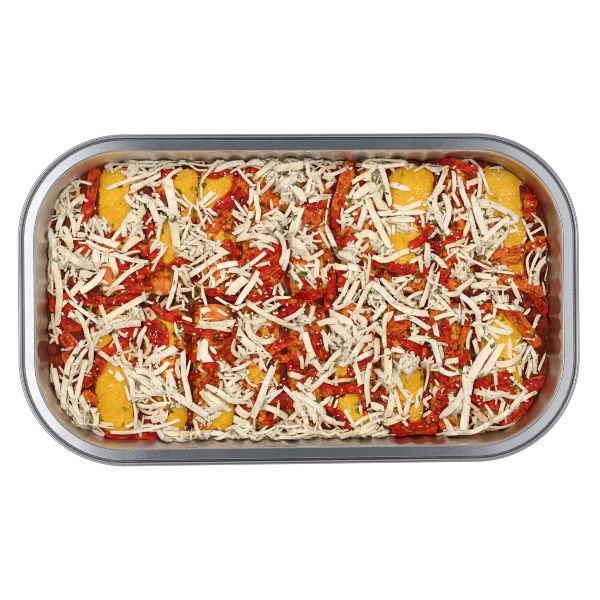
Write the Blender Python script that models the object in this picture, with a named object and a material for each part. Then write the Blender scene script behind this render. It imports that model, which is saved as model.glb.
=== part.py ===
"""Cheese manicotti in its own foil tray.

Two rows of nine stuffed pasta tubes lie side by side in a bed of tomato
sauce, under strips of sun-dried tomato and a loose heap of shredded cheese.
The tray is a smooth-walled, round-cornered foil container with a rolled rim.

Metres, +Z up, +X along the tray, origin under the middle of the tray.
"""

import math
import random

import bmesh
import bpy
import numpy as np
from mathutils import Vector, noise

# ---------------------------------------------------------------- dimensions
MM = 0.001

TRAY_L = 324.0 * MM  # over the rolled rim
TRAY_W = 191.0 * MM
TRAY_H = 45.0 * MM
CORNER_R = 61.0 * MM  # outer radius of the rim's corners
FOIL = 0.5 * MM
DRAFT = math.radians(7.8)
RIM_IN = 9.9 * MM  # rim's outer edge to the top of the wall, inside
BASE_R = 5.0 * MM  # bend between wall and base
CORNER_STEPS = 7

FLUTE_DEPTH = 1.4 * MM
FLUTES_LONG, FLUTE_PITCH_LONG = 16, 10.5 * MM
FLUTES_SHORT, FLUTE_PITCH_SHORT = 6, 11.3 * MM
FLUTE_TOP = TRAY_H - 4.2 * MM
FLUTE_FOOT = 8.0 * MM

GAP = 0.35 * MM  # clearance between neighbouring pieces

SAUCE_LEVEL = 21.0 * MM

TUBES_PER_ROW = 9
TUBE_PITCH = 28.3 * MM
TUBE_W = 26.0 * MM
TUBE_H = 22.0 * MM
TUBE_LEN = 75.0 * MM
TUBE_SIDES = 10
TUBE_FLOOR = 3.6 * MM
ROW_START_X = -106.6 * MM
ROW_Y = (40.6 * MM, -40.6 * MM)
ROW_SHIFT = (0.0, -2.0 * MM)

STRIP_THICK = 2.0 * MM

CHEESE_CELL = 9.4 * MM
CHEESE_TOP = 36.6 * MM

# Sun-dried tomato strips: middle x, middle y, turn (degrees), length, bow to
# the left of that direction, width; in millimetres.
STRIPS = (
    (-123, 62, -102, 32, 0, 6),
    (-42, 64, -124, 30, 5, 7),
    (-26, 25, 23, 29, 0, 6),
    (-74, 23, 21, 30, 0, 6),
    (-93, 14, 27, 25, 0, 5),
    (-111, 3, 6, 45, -6, 6),
    (25, 61, -103, 42, -2, 7),
    (5, 48, -42, 18, 0, 8),
    (71, 37, 38, 19, 0, 5),
    (58, 18, -14, 33, -1, 6),
    (16, 11, -86, 36, 2, 6),
    (93, 74, -17, 24, 0, 6),
    (136, 55, -96, 28, 0, 7),
    (91, 32, 23, 20, 0, 5),
    (124, 26, 15, 44, 2, 8),
    (-134, -8, -83, 24, 0, 10),
    (-109, -27, 39, 26, 0, 6),
    (-120, -42, 45, 23, 0, 6),
    (-87, -21, 56, 16, 0, 8),
    (-57, -18, -13, 32, 0, 5),
    (-43, -23, -123, 46, 5, 6),
    (-8, -4, 23, 20, 0, 7),
    (-2, -31, -53, 18, 0, 7),
    (68, -30, -34, 25, 0, 6),
    (127, 6, -27, 30, 0, 8),
    (139, -10, -57, 18, 0, 6),
    (129, -20, -50, 29, 0, 8),
    (90, -24, -61, 23, 2, 6),
    (-98, -75, -5, 34, -3, 6),
    (-15, -66, 40, 27, 0, 6),
    (24, -53, -3, 26, 0, 7),
    (21, -71, -56, 22, 0, 6),
    (66, -75, -1, 28, 0, 7),
    (114, -49, 21, 24, 0, 6),
    (112, -61, -20, 22, 0, 7),
    (127, -65, 33, 24, 0, 8),
)

# Where the cheese leaves pasta or sauce bare: x, y, half width, half length.
BARE = (
    (-110, 62, 10, 21),
    (-63, 66, 18, 13),
    (66, 66, 17, 14),
    (120, 54, 14, 25),
    (-111, -58, 11, 20),
    (-72, -70, 9, 8),
    (-46, -66, 8, 11),
    (28, -64, 8, 11),
    (66, -58, 10, 15),
    (124, -36, 9, 14),
    (138, 12, 8, 24),
)

COLOURS = {
    "foil": ((0.62, 0.63, 0.65), 0.30, 1.0),
    "pasta": ((0.80, 0.50, 0.07), 0.42, 0.0),
    "sauce": ((0.42, 0.06, 0.012), 0.28, 0.0),
    "tomato": ((0.36, 0.012, 0.008), 0.30, 0.0),
    "cheese": ((0.83, 0.74, 0.55), 0.50, 0.0),
}


# ------------------------------------------------------------------- helpers
def material(slot):
    """A Principled material in the slot's colour."""
    colour, roughness, metallic = COLOURS[slot]
    mat = bpy.data.materials.get(slot) or bpy.data.materials.new(slot)
    mat.use_nodes = True
    shader = mat.node_tree.nodes["Principled BSDF"]
    shader.inputs["Base Color"].default_value = (*colour, 1.0)
    shader.inputs["Roughness"].default_value = roughness
    shader.inputs["Metallic"].default_value = metallic
    return mat


def add_object(name, bm, slot, smooth=35.0):
    """Puts a bmesh into the scene under a name, with its material."""
    bmesh.ops.recalc_face_normals(bm, faces=bm.faces)
    mesh = bpy.data.meshes.new(name)
    bm.to_mesh(mesh)
    bm.free()
    mesh.shade_smooth()
    mesh.set_sharp_from_angle(angle=math.radians(smooth))
    mesh.materials.append(material(slot))
    ob = bpy.data.objects.new(name, mesh)
    bpy.context.scene.collection.objects.link(ob)
    return ob


def bridge(bm, ring_a, ring_b):
    """Joins two closed rings of (turn, vertex), whose counts may differ.

    A turn is the vertex's share of the way round, from 0 to 1, so the
    triangles always lead to the next nearest station.
    """
    na, nb = len(ring_a), len(ring_b)
    i = j = 0
    while i < na or j < nb:
        a0, a1 = ring_a[i % na], ring_a[(i + 1) % na]
        b0, b1 = ring_b[j % nb], ring_b[(j + 1) % nb]
        next_a = a1[0] + (1.0 if i + 1 >= na else 0.0)
        next_b = b1[0] + (1.0 if j + 1 >= nb else 0.0)
        both = abs(next_a - next_b) < 1e-6
        if both and i < na and j < nb:
            bm.faces.new((a0[1], a1[1], b1[1], b0[1]))
            i, j = i + 1, j + 1
        elif j >= nb or (i < na and next_a < next_b):
            bm.faces.new((a0[1], a1[1], b0[1]))
            i += 1
        else:
            bm.faces.new((a0[1], b1[1], b0[1]))
            j += 1


# ---------------------------------------------------------------------- tray
def stations(per_flute):
    """Stations round the tray: (turn, corner or side point, outward, ridge).

    Every outline of the tray is point + outward * (CORNER_R - inset), so the
    rim, wall and base stay concentric. ridge runs from 0 in a flute's
    channel to 1 on the ridge between two flutes.
    """
    hx, hy = TRAY_L / 2 - CORNER_R, TRAY_W / 2 - CORNER_R
    found = []

    def side(start, end, normal, count, pitch, first):
        length = (end - start).length
        along = (end - start).normalized()
        run = count * pitch
        found.append((first, start, normal, 0.0))
        if per_flute:
            steps = count * per_flute
            for k in range(steps + 1):
                s = (length - run) / 2 + run * k / steps
                phase = (k % per_flute) / per_flute
                ridge = (0.5 - 0.5 * math.cos(2 * math.pi * phase)) ** 1.3
                if 0.1 * MM < s < length - 0.1 * MM:
                    found.append((first + 0.15 * s / length, start + along * s, normal, ridge))
        else:
            for k in range(1, 4 if length > 0.1 else 2):
                s = length * k / (4 if length > 0.1 else 2)
                found.append((first + 0.15 * s / length, start + along * s, normal, 0.0))

    def corner(centre, angle, first):
        for k in range(CORNER_STEPS):
            a = angle + math.pi / 2 * k / CORNER_STEPS
            normal = Vector((math.cos(a), math.sin(a), 0.0))
            if k:
                found.append((first + 0.1 * k / CORNER_STEPS, centre, normal, 0.0))

    c = [Vector((hx, -hy, 0)), Vector((hx, hy, 0)), Vector((-hx, hy, 0)), Vector((-hx, -hy, 0))]
    counts = ((FLUTES_SHORT, FLUTE_PITCH_SHORT), (FLUTES_LONG, FLUTE_PITCH_LONG)) * 2
    for q in range(4):
        normal = Vector((round(math.cos(q * math.pi / 2)), round(math.sin(q * math.pi / 2)), 0.0))
        first = q * 0.25
        side(c[q], c[(q + 1) % 4], normal, *counts[q], first)
        # The side's far end and the corner after it.
        found.append((first + 0.15, c[(q + 1) % 4], normal, 0.0))
        corner(c[(q + 1) % 4], q * math.pi / 2, first + 0.15)
    return found


PLAIN, FLUTED = stations(0), stations(4)


def ring(bm, inset, z, fluted=False, ridge=FLUTE_DEPTH):
    """One outline of the tray at a height, as (turn, vertex) pairs."""
    out = []
    for turn, point, normal, crest in FLUTED if fluted else PLAIN:
        p = point + normal * (CORNER_R - inset - (crest * ridge if fluted else 0.0))
        out.append((turn, bm.verts.new((p.x, p.y, z))))
    return out


def wall_inset(z):
    """Rim's outer edge to the wall's inner face at a height."""
    return RIM_IN + (TRAY_H - 1.6 * MM - z) * math.tan(DRAFT)


def make_tray():
    bm = bmesh.new()
    h = TRAY_H
    thick = FOIL / math.cos(DRAFT)

    def base_bend(inner):
        """The bend between wall and base: (inset, z), from wall to base."""
        foil = 0.0 if inner else FOIL
        r = BASE_R + foil
        z0 = FOIL - foil
        out = []
        for k in range(3):
            a = (math.pi / 2 - DRAFT) * k / 2 + DRAFT
            centre_in = wall_inset(BASE_R + FOIL) + BASE_R
            out.append((centre_in - r * math.cos(a), z0 + r - r * math.sin(a)))
        return out

    # From the middle of the base, up the inside, over the rim, down outside.
    inner = list(reversed(base_bend(True)))
    rows = [(d, z, False) for d, z in inner]
    rows += [(wall_inset(FLUTE_FOOT), FLUTE_FOOT, False)]
    rows += [(wall_inset(z), z, True) for z in (FLUTE_FOOT + 3 * MM, FLUTE_TOP)]
    rows += [(RIM_IN, h - 1.9 * MM, False)]
    rows += [(9.4 * MM, h - 0.9 * MM, False), (8.6 * MM, h - 0.5 * MM, False)]
    rows += [(3.9 * MM, h - 0.6 * MM, False)]
    rows += [(3.3 * MM, h - 1.3 * MM, False), (2.7 * MM, h - 1.3 * MM, False)]
    curl_r = 1.35 * MM
    for k in range(6):  # the rolled edge
        a = math.radians(40 + 52 * k)
        rows.append((curl_r - curl_r * math.cos(a), h - curl_r + curl_r * math.sin(a), False))
    curl = rows[-6:]
    curl = [(2 * curl_r - d, z, f) for d, z, f in curl]
    rows[-6:] = curl
    rows += [(3.2 * MM, h - 1.9 * MM, False)]
    rows += [(4.2 * MM, h - 1.15 * MM, False)]
    rows += [(8.7 * MM, h - 1.05 * MM, False)]
    rows += [(RIM_IN - thick, h - 2.3 * MM, False)]
    rows += [(wall_inset(z) - thick, z, True) for z in (FLUTE_TOP, FLUTE_FOOT + 3 * MM)]
    rows += [(wall_inset(FLUTE_FOOT) - thick, FLUTE_FOOT, False)]
    rows += [(d, z, False) for d, z in base_bend(False)]

    rings = [ring(bm, d, z, f) for d, z, f in rows]
    for a, b in zip(rings, rings[1:]):
        bridge(bm, a, b)
    bm.faces.new([v for _, v in rings[0]])
    bm.faces.new([v for _, v in reversed(rings[-1])])
    bmesh.ops.triangulate(bm, faces=[f for f in bm.faces if len(f.verts) > 4])
    return add_object("tray", bm, "foil", 14.0)


# --------------------------------------------------------------------- tubes
def tube_places():
    """(x, y, width, height, length, turn) of each pasta tube."""
    dice = random.Random(7)
    out = []
    for row in range(2):
        for k in range(TUBES_PER_ROW):
            x = ROW_START_X + ROW_SHIFT[row] + TUBE_PITCH * k + dice.uniform(-0.3, 0.3) * MM
            out.append(
                (
                    x,
                    ROW_Y[row] + dice.uniform(-0.8, 0.8) * MM,
                    TUBE_W + dice.uniform(-0.9, 0.5) * MM,
                    TUBE_H + dice.uniform(-1.2, 1.2) * MM,
                    TUBE_LEN + dice.uniform(-1.5, 1.0) * MM,
                    math.radians(dice.uniform(-0.6, 0.6)),
                )
            )
    return out


TUBES = tube_places()


def squarish(a, b, angle):
    """A point on a tube's cross-section: flattened where it lies."""
    c, s = math.cos(angle), math.sin(angle)
    x = a * math.copysign(abs(c) ** 0.85, c)
    z = b * math.copysign(abs(s) ** 0.9, s)
    return x, z


def kept_in(x, y, z):
    """Moves a point that lies past the tray's wall back inside it."""
    hx, hy = TRAY_L / 2 - CORNER_R, TRAY_W / 2 - CORNER_R
    inset = wall_inset(max(z, FOIL + BASE_R)) + FLUTE_DEPTH + GAP
    if z < FOIL + BASE_R:
        drop = min((FOIL + BASE_R - z) / BASE_R, 0.98)
        inset += BASE_R * (1 - math.sqrt(1 - drop * drop))
    dx, dy = max(abs(x) - hx, 0.0), max(abs(y) - hy, 0.0)
    reach, room = math.hypot(dx, dy), CORNER_R - inset
    if reach > room:
        dx, dy = dx * room / reach, dy * room / reach
        x = math.copysign(hx + dx, x) if abs(x) > hx else x
        y = math.copysign(hy + dy, y) if abs(y) > hy else y
    return x, y, z


def make_tube(name, place, seed):
    """One stuffed pasta tube along Y, its ends slumped and a little open."""
    x0, y0, width, height, length, turn = place
    dice = random.Random(seed)
    bm = bmesh.new()
    lean = [dice.uniform(-1.2, 1.2) * MM for _ in range(2)]
    rings = []
    spots = ((-0.5, 0.80), (-0.455, 0.95), (-0.12, 1.0), (0.2, 0.985), (0.46, 0.94), (0.5, 0.80))
    for share, scale in spots:
        loop = []
        for k in range(TUBE_SIDES):
            a = 2 * math.pi * (k + 0.5) / TUBE_SIDES
            x, z = squarish(width / 2 * scale, height / 2 * scale, a)
            slant = lean[share > 0] * math.sin(a) * (1 if abs(share) > 0.4 else 0)
            y = length * share + slant * (1 if share > 0 else -1)
            y = max(-length / 2, min(length / 2, y))
            loop.append(bm.verts.new((x, y, z)))
        rings.append(loop)
    for a, b in zip(rings, rings[1:]):
        for k in range(TUBE_SIDES):
            n = (k + 1) % TUBE_SIDES
            bm.faces.new((a[k], a[n], b[n], b[k]))
    for loop, sign in ((rings[0], 1), (rings[-1], -1)):
        y = sum(v.co.y for v in loop) / TUBE_SIDES + sign * 1.5 * MM
        hub = bm.verts.new((0.0, y, 0.0))
        for k in range(TUBE_SIDES):
            bm.faces.new((loop[k], loop[(k + 1) % TUBE_SIDES], hub))
    middle = TUBE_FLOOR + height / 2
    for v in bm.verts:  # squeezed where the tray's wall is in the way
        c, s = math.cos(turn), math.sin(turn)
        x, y, z = kept_in(x0 + v.co.x * c - v.co.y * s, y0 + v.co.x * s + v.co.y * c, middle + v.co.z)
        v.co = ((x - x0) * c + (y - y0) * s, -(x - x0) * s + (y - y0) * c, v.co.z)
    ob = add_object(name, bm, "pasta", 50.0)
    ob.location = (x0, y0, middle)
    ob.rotation_euler = (0.0, 0.0, turn)
    return ob


# --------------------------------------------------------------------- sauce
def make_sauce():
    """The sauce up to its level, hollowed where the tubes lie in it."""
    bm = bmesh.new()
    clear = FLUTE_DEPTH + GAP
    bend_in = wall_inset(BASE_R + FOIL) + BASE_R
    r = BASE_R - GAP
    rows = [
        (bend_in - r * math.cos(DRAFT + a), FOIL + GAP + r - r * math.sin(DRAFT + a))
        for a in (math.pi / 2 - DRAFT, (math.pi / 2 - DRAFT) / 2)
    ]
    rows += [(wall_inset(7 * MM) + GAP * 1.2, 6.4 * MM)]
    rows += [(wall_inset(11 * MM) + clear, 11 * MM), (wall_inset(SAUCE_LEVEL) + clear, SAUCE_LEVEL)]
    rings = [ring(bm, d, z) for d, z in rows]
    for a, b in zip(rings, rings[1:]):
        bridge(bm, a, b)
    bm.faces.new([v for _, v in rings[0]])
    bm.faces.new([v for _, v in reversed(rings[-1])])
    bed = add_object("sauce", bm, "sauce")

    for n, (x0, y0, width, height, length, turn) in enumerate(TUBES):
        a = width / 2 + 1.6 * GAP
        low = TUBE_FLOOR - GAP
        mid = TUBE_FLOOR + height * 0.42
        half = length / 2 + 1.2 * GAP
        section = (
            (-a, 30 * MM), (-a, mid), (-a * 0.86, low + height * 0.13), (-a * 0.52, low),
            (a * 0.52, low), (a * 0.86, low + height * 0.13), (a, mid), (a, 30 * MM),
        )
        cut = bmesh.new()
        ends = [[cut.verts.new((x, y, z)) for x, z in section] for y in (-half, half)]
        count = len(section)
        for k in range(count):
            m = (k + 1) % count
            cut.faces.new((ends[0][k], ends[0][m], ends[1][m], ends[1][k]))
        cut.faces.new(ends[0])
        cut.faces.new(list(reversed(ends[1])))
        cutter = add_object(f"pocket_{n + 1:02d}", cut, "sauce")
        cutter.location = (x0, y0, 0.0)
        cutter.rotation_euler = (0.0, 0.0, turn)
        cutter.hide_render = True
        cutter.display_type = "WIRE"
        hollow = bed.modifiers.new(cutter.name, "BOOLEAN")
        hollow.operation = "DIFFERENCE"
        hollow.solver = "EXACT"
        hollow.object = cutter
    return bed


# ------------------------------------------------------- what lies on the top
class Ground:
    """The height of whatever has been laid so far, on a 1 mm grid."""

    STEP = 1.0 * MM

    def __init__(self):
        self.nx, self.ny = 321, 187
        xs = (np.arange(self.nx) - self.nx // 2) * self.STEP
        ys = (np.arange(self.ny) - self.ny // 2) * self.STEP
        self.x, self.y = np.meshgrid(xs, ys, indexing="ij")
        self.z = np.full(self.x.shape, SAUCE_LEVEL)
        for x0, y0, width, height, length, turn in TUBES:
            u = (self.x - x0) * math.cos(turn) + (self.y - y0) * math.sin(turn)
            v = -(self.x - x0) * math.sin(turn) + (self.y - y0) * math.cos(turn)
            t = np.clip(np.abs(u) / (width / 2), 0, 1)
            top = TUBE_FLOOR + height / 2 + height / 2 * np.sqrt(np.clip(1 - t**2.4, 0, 1))
            inside = (np.abs(u) < width / 2 + self.STEP) & (np.abs(v) < length / 2 + self.STEP)
            self.z = np.where(inside, np.maximum(self.z, top), self.z)

    def under(self, a, b, reach):
        """Cells within reach of the line from a to b."""
        ax, ay, bx, by = a[0], a[1], b[0], b[1]
        dx, dy = bx - ax, by - ay
        length = max(dx * dx + dy * dy, 1e-12)
        t = np.clip(((self.x - ax) * dx + (self.y - ay) * dy) / length, 0, 1)
        return np.hypot(self.x - ax - t * dx, self.y - ay - t * dy) < reach

    def highest(self, a, b, reach):
        mask = self.under(a, b, reach)
        return float(self.z[mask].max()) if mask.any() else SAUCE_LEVEL


def strip_path(x, y, turn, length, bow):
    """Points along a bowed strip, about one for each 9 mm."""
    count = max(3, int(round(length / 9.0)) + 1)
    a = math.radians(turn)
    along, left = Vector((math.cos(a), math.sin(a))), Vector((-math.sin(a), math.cos(a)))
    out = []
    for k in range(count):
        t = 2 * k / (count - 1) - 1
        p = Vector((x, y)) + along * (t * length / 2) + left * (bow * (0.5 - t * t))
        out.append((p.x * MM, p.y * MM))
    return out


def make_strip(name, ground, row, seed):
    """A ribbon of dried tomato lying on whatever is under it."""
    dice = random.Random(seed)
    x, y, turn, length, bow, width = row
    points = strip_path(x, y, turn, length, bow)
    half = width * MM / 2
    reach = half + 1.6 * MM
    last = len(points) - 1
    spans = [ground.highest(points[k], points[k + 1], reach) for k in range(last)]
    thick = STRIP_THICK * dice.uniform(0.9, 1.1)
    floor = [max(spans[max(k - 1, 0)], spans[min(k, last - 1)]) + GAP for k in range(last + 1)]
    bm = bmesh.new()
    rings = []
    for k, (px, py) in enumerate(points):
        prev, nxt = points[max(k - 1, 0)], points[min(k + 1, last)]
        along = Vector((nxt[0] - prev[0], nxt[1] - prev[1])).normalized()
        side = Vector((-along.y, along.x))
        w = half * (0.55 if k in (0, last) else dice.uniform(0.8, 1.0))
        edge = dice.uniform(0.35, 0.75)
        z = floor[k]
        section = (
            (-w, z + thick * edge), (-w * 0.45, z), (w * 0.5, z),
            (w, z + thick * (1.1 - edge)), (w * 0.5, z + thick), (-w * 0.5, z + thick * 0.9),
        )
        rings.append([bm.verts.new(kept_in(px + side.x * s, py + side.y * s, zz)) for s, zz in section])
    for a, b in zip(rings, rings[1:]):
        for k in range(6):
            m = (k + 1) % 6
            bm.faces.new((a[k], a[m], b[m], b[k]))
    bm.faces.new(rings[0])
    bm.faces.new(list(reversed(rings[-1])))
    for k in range(last):
        mask = ground.under(points[k], points[k + 1], half + 0.8 * MM)
        top = max(floor[k], floor[k + 1]) + thick
        ground.z = np.where(mask, np.maximum(ground.z, top), ground.z)
    return add_object(name, bm, "tomato", 60.0)


def make_cheese(ground):
    """The heap of shredded cheese: one uneven, broken-edged blanket."""
    nx, ny = int(284 * MM / CHEESE_CELL), int(157 * MM / CHEESE_CELL)
    x0, y0 = -nx * CHEESE_CELL / 2, -ny * CHEESE_CELL / 2

    def covered(i, j):
        x, y = x0 + (i + 0.5) * CHEESE_CELL, y0 + (j + 0.5) * CHEESE_CELL
        # Inside the tray's wall, corners included.
        inset = wall_inset(28 * MM) + 6.5 * MM
        hx, hy = TRAY_L / 2 - CORNER_R, TRAY_W / 2 - CORNER_R
        dx, dy = max(abs(x) - hx, 0.0), max(abs(y) - hy, 0.0)
        if math.hypot(dx, dy) > CORNER_R - inset:
            return False
        for bx, by, rx, ry in BARE:
            if ((x / MM - bx) / rx) ** 2 + ((y / MM - by) / ry) ** 2 < 0.8:
                return False
        for row in STRIPS:
            path = strip_path(*row[:5])
            for p, q in zip(path, path[1:]):
                t = max(0.0, min(1.0, ((x - p[0]) * (q[0] - p[0]) + (y - p[1]) * (q[1] - p[1]))
                                 / ((q[0] - p[0]) ** 2 + (q[1] - p[1]) ** 2)))
                if math.hypot(x - p[0] - t * (q[0] - p[0]), y - p[1] - t * (q[1] - p[1])) < row[5] * MM * 0.42:
                    return False
        return noise.noise(Vector((x * 52, y * 52, 3.1))) > -0.30

    on = {(i, j) for i in range(nx) for j in range(ny) if covered(i, j)}

    def mend(cells):
        """Fills one cell wherever two meet only at a corner."""
        changed = True
        while changed:
            changed = False
            for i in range(nx):
                for j in range(ny):
                    a, b = (i, j) in cells, (i + 1, j) in cells
                    c, d = (i, j + 1) in cells, (i + 1, j + 1) in cells
                    if a and d and not b and not c:
                        cells.add((i + 1, j))
                        changed = True
                    elif b and c and not a and not d:
                        cells.add((i, j))
                        changed = True
        return cells

    def largest(cells):
        """The biggest set of cells that join edge to edge."""
        left, best = set(cells), set()
        while left:
            group, todo = set(), [min(left)]
            while todo:
                cell = todo.pop()
                if cell in left:
                    left.discard(cell)
                    group.add(cell)
                    i, j = cell
                    todo += [(i + 1, j), (i - 1, j), (i, j + 1), (i, j - 1)]
            if len(group) > len(best):
                best = group
        return best

    on = largest(mend(on))

    corners = sorted({(i + a, j + b) for i, j in on for a in (0, 1) for b in (0, 1)})
    touching = {c: [(c[0] - a, c[1] - b) in on for a in (0, 1) for b in (0, 1)] for c in corners}
    border = {c for c in corners if not all(touching[c])}
    dice = random.Random(11)
    plan = {}
    for c in corners:
        slack = 0.24 * CHEESE_CELL
        plan[c] = Vector((
            x0 + c[0] * CHEESE_CELL + dice.uniform(-slack, slack),
            y0 + c[1] * CHEESE_CELL + dice.uniform(-slack, slack),
        ))
    edges = {}
    for i, j in on:
        for a, b, side in (
            ((i, j), (i + 1, j), (i, j - 1)),
            ((i + 1, j), (i + 1, j + 1), (i + 1, j)),
            ((i + 1, j + 1), (i, j + 1), (i, j + 1)),
            ((i, j + 1), (i, j), (i - 1, j)),
        ):
            if side not in on:
                edges.setdefault(a, []).append(b)
                edges.setdefault(b, []).append(a)
    for _ in range(2):  # rounds the stepped edges
        moved = {}
        for c, near in edges.items():
            middle = sum((plan[n] for n in near), Vector((0.0, 0.0))) / len(near)
            moved[c] = plan[c].lerp(middle, 0.45)
        plan.update(moved)

    low, high = {}, {}
    for c in corners:
        p = plan[c]
        near = np.hypot(ground.x - p.x, ground.y - p.y) < 1.75 * CHEESE_CELL
        low[c] = float(ground.z[near].max()) + GAP
        rise = 0.5 + 0.5 * noise.noise(Vector((p.x * 90, p.y * 90, 8.0)))
        thick = (1.2 if c in border else 1.6 + 3.4 * rise) * MM
        high[c] = min(low[c] + thick, max(CHEESE_TOP, low[c] + 0.9 * MM))

    bm = bmesh.new()
    top = {c: bm.verts.new(kept_in(plan[c].x, plan[c].y, high[c])) for c in corners}
    foot = {c: bm.verts.new(kept_in(plan[c].x, plan[c].y, low[c])) for c in corners}
    for i, j in sorted(on):
        q = ((i, j), (i + 1, j), (i + 1, j + 1), (i, j + 1))
        if (i + j) % 2:
            q = q[1:] + q[:1]
        for tri in ((q[0], q[1], q[2]), (q[0], q[2], q[3])):
            bm.faces.new([top[c] for c in tri])
            bm.faces.new([foot[c] for c in reversed(tri)])
        for (a, b), side in (
            (((i, j), (i + 1, j)), (i, j - 1)),
            (((i + 1, j), (i + 1, j + 1)), (i + 1, j)),
            (((i + 1, j + 1), (i, j + 1)), (i, j + 1)),
            (((i, j + 1), (i, j)), (i - 1, j)),
        ):
            if side not in on:
                bm.faces.new((foot[a], foot[b], top[b], top[a]))
    return add_object("cheese", bm, "cheese", 25.0)


# --------------------------------------------------------------------- build
for old in list(bpy.data.objects):
    bpy.data.objects.remove(old, do_unlink=True)

make_tray()
for number, spot in enumerate(TUBES, 1):
    make_tube(f"manicotti_{number:02d}", spot, 100 + number)
make_sauce()
laid = Ground()
for number, strip in enumerate(STRIPS, 1):
    make_strip(f"tomato_{number:02d}", laid, strip, 300 + number)
make_cheese(laid)
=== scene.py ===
"""The looks of the cheese manicotti in its foil tray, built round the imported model."""

import math
import random

import bmesh
import bpy
import numpy as np
from mathutils import Matrix, Vector


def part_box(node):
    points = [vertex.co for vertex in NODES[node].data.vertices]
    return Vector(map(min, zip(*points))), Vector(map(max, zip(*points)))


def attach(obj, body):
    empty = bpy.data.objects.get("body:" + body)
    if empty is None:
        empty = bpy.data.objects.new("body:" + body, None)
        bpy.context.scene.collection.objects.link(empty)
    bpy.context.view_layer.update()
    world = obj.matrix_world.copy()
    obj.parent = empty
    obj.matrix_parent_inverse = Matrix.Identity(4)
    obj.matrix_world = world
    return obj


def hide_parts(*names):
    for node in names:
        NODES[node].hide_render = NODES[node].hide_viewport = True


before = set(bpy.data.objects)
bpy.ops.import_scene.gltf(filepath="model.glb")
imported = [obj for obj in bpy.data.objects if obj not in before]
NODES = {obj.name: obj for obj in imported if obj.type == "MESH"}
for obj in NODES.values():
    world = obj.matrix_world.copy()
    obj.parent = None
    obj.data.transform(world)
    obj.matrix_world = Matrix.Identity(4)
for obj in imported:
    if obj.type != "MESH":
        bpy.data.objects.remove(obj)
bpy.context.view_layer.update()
SCENE = bpy.context.scene
MM = 0.001
TAU = 2 * math.pi

lo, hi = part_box("tray")
HX, HY = (hi.x - lo.x) / 2 / MM, (hi.y - lo.y) / 2 / MM  # half sizes, mm
RIM_Z = hi.z / MM
CORNER = 61.0
DRAFT = math.tan(math.radians(7.8))
RIM_IN = 10.6
SAUCE_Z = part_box("sauce")[1].z / MM


# ------------------------------------------------------------------ small kit
def lattice(ix, iy, iz, seed):
    """A repeatable number from 0 to 1 for each whole-number place."""
    n = (ix * 374761393 + iy * 668265263 + iz * 2147483647 + seed * 1274126177) & 0xFFFFFFFF
    n = ((n ^ (n >> 13)) * 1274126177) & 0xFFFFFFFF
    n = ((n ^ (n >> 16)) * 2246822519) & 0xFFFFFFFF
    return ((n ^ (n >> 15)) & 0xFFFFFF) / float(0xFFFFFF)


def noise3(p, size, seed=0):
    """Smooth noise from -1 to 1 at points p, its lumps about size wide."""
    q = np.asarray(p, float) / size
    base = np.floor(q).astype(np.int64)
    f = q - base
    f = f * f * f * (f * (f * 6 - 15) + 10)
    total = 0.0
    for a in (0, 1):
        wx = f[..., 0] if a else 1 - f[..., 0]
        for b in (0, 1):
            wy = f[..., 1] if b else 1 - f[..., 1]
            for c in (0, 1):
                wz = f[..., 2] if c else 1 - f[..., 2]
                v = lattice(base[..., 0] + a, base[..., 1] + b, base[..., 2] + c, seed)
                total = total + wx * wy * wz * v
    return total * 2 - 1


def fractal(p, size, seed=0, octaves=3):
    out, amp, norm = 0.0, 1.0, 0.0
    for k in range(octaves):
        out = out + amp * noise3(p, size / 2**k, seed + 17 * k)
        norm += amp
        amp *= 0.5
    return out / norm


def smooth(t):
    t = np.clip(t, 0.0, 1.0)
    return t * t * (3 - 2 * t)


class Pile:
    """Gathers points and faces, with one or more numbers a point, into one mesh."""

    def __init__(self, *numbers):
        self.v, self.f, self.n, self.names = [], [], {k: [] for k in numbers}, numbers
        self.count = 0

    def add(self, verts, faces, **numbers):
        verts = np.asarray(verts, float)
        self.v.append(verts)
        for f in faces:
            f = np.asarray(f, np.int64)
            self.f.append((f + self.count, f.shape[1]))
        for k in self.names:
            value = numbers.get(k, 0.0)
            self.n[k].append(np.broadcast_to(np.asarray(value, float), (len(verts),)))
        self.count += len(verts)

    def build(self, name, material, slot, body="root", sharp=None, replaces=(), weld=False):
        verts = np.concatenate(self.v) * MM
        mesh = bpy.data.meshes.new(name)
        mesh.vertices.add(len(verts))
        mesh.vertices.foreach_set("co", verts.astype(np.float32).ravel())
        loops = np.concatenate([f.ravel() for f, _ in self.f])
        sizes = np.concatenate([np.full(len(f), k) for f, k in self.f])
        starts = np.concatenate([[0], np.cumsum(sizes)[:-1]])
        mesh.loops.add(len(loops))
        mesh.loops.foreach_set("vertex_index", loops.astype(np.int32))
        mesh.polygons.add(len(sizes))
        mesh.polygons.foreach_set("loop_start", starts.astype(np.int32))
        mesh.update(calc_edges=True)
        mesh.validate()
        for k in self.names:
            values = np.concatenate(self.n[k]).astype(np.float32)
            mesh.attributes.new(k, "FLOAT", "POINT").data.foreach_set("value", values)
        if weld:
            form = bmesh.new()
            form.from_mesh(mesh)
            bmesh.ops.remove_doubles(form, verts=form.verts, dist=1e-6)
            bmesh.ops.dissolve_degenerate(form, edges=form.edges, dist=1e-7)
            bmesh.ops.recalc_face_normals(form, faces=form.faces)
            form.to_mesh(mesh)
            form.free()
        mesh.shade_smooth()
        if sharp:
            mesh.set_sharp_from_angle(angle=math.radians(sharp))
        mesh.materials.append(material)
        ob = bpy.data.objects.new(name, mesh)
        SCENE.collection.objects.link(ob)
        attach(ob, body)
        if replaces:
            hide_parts(*replaces)
        return ob


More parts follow.
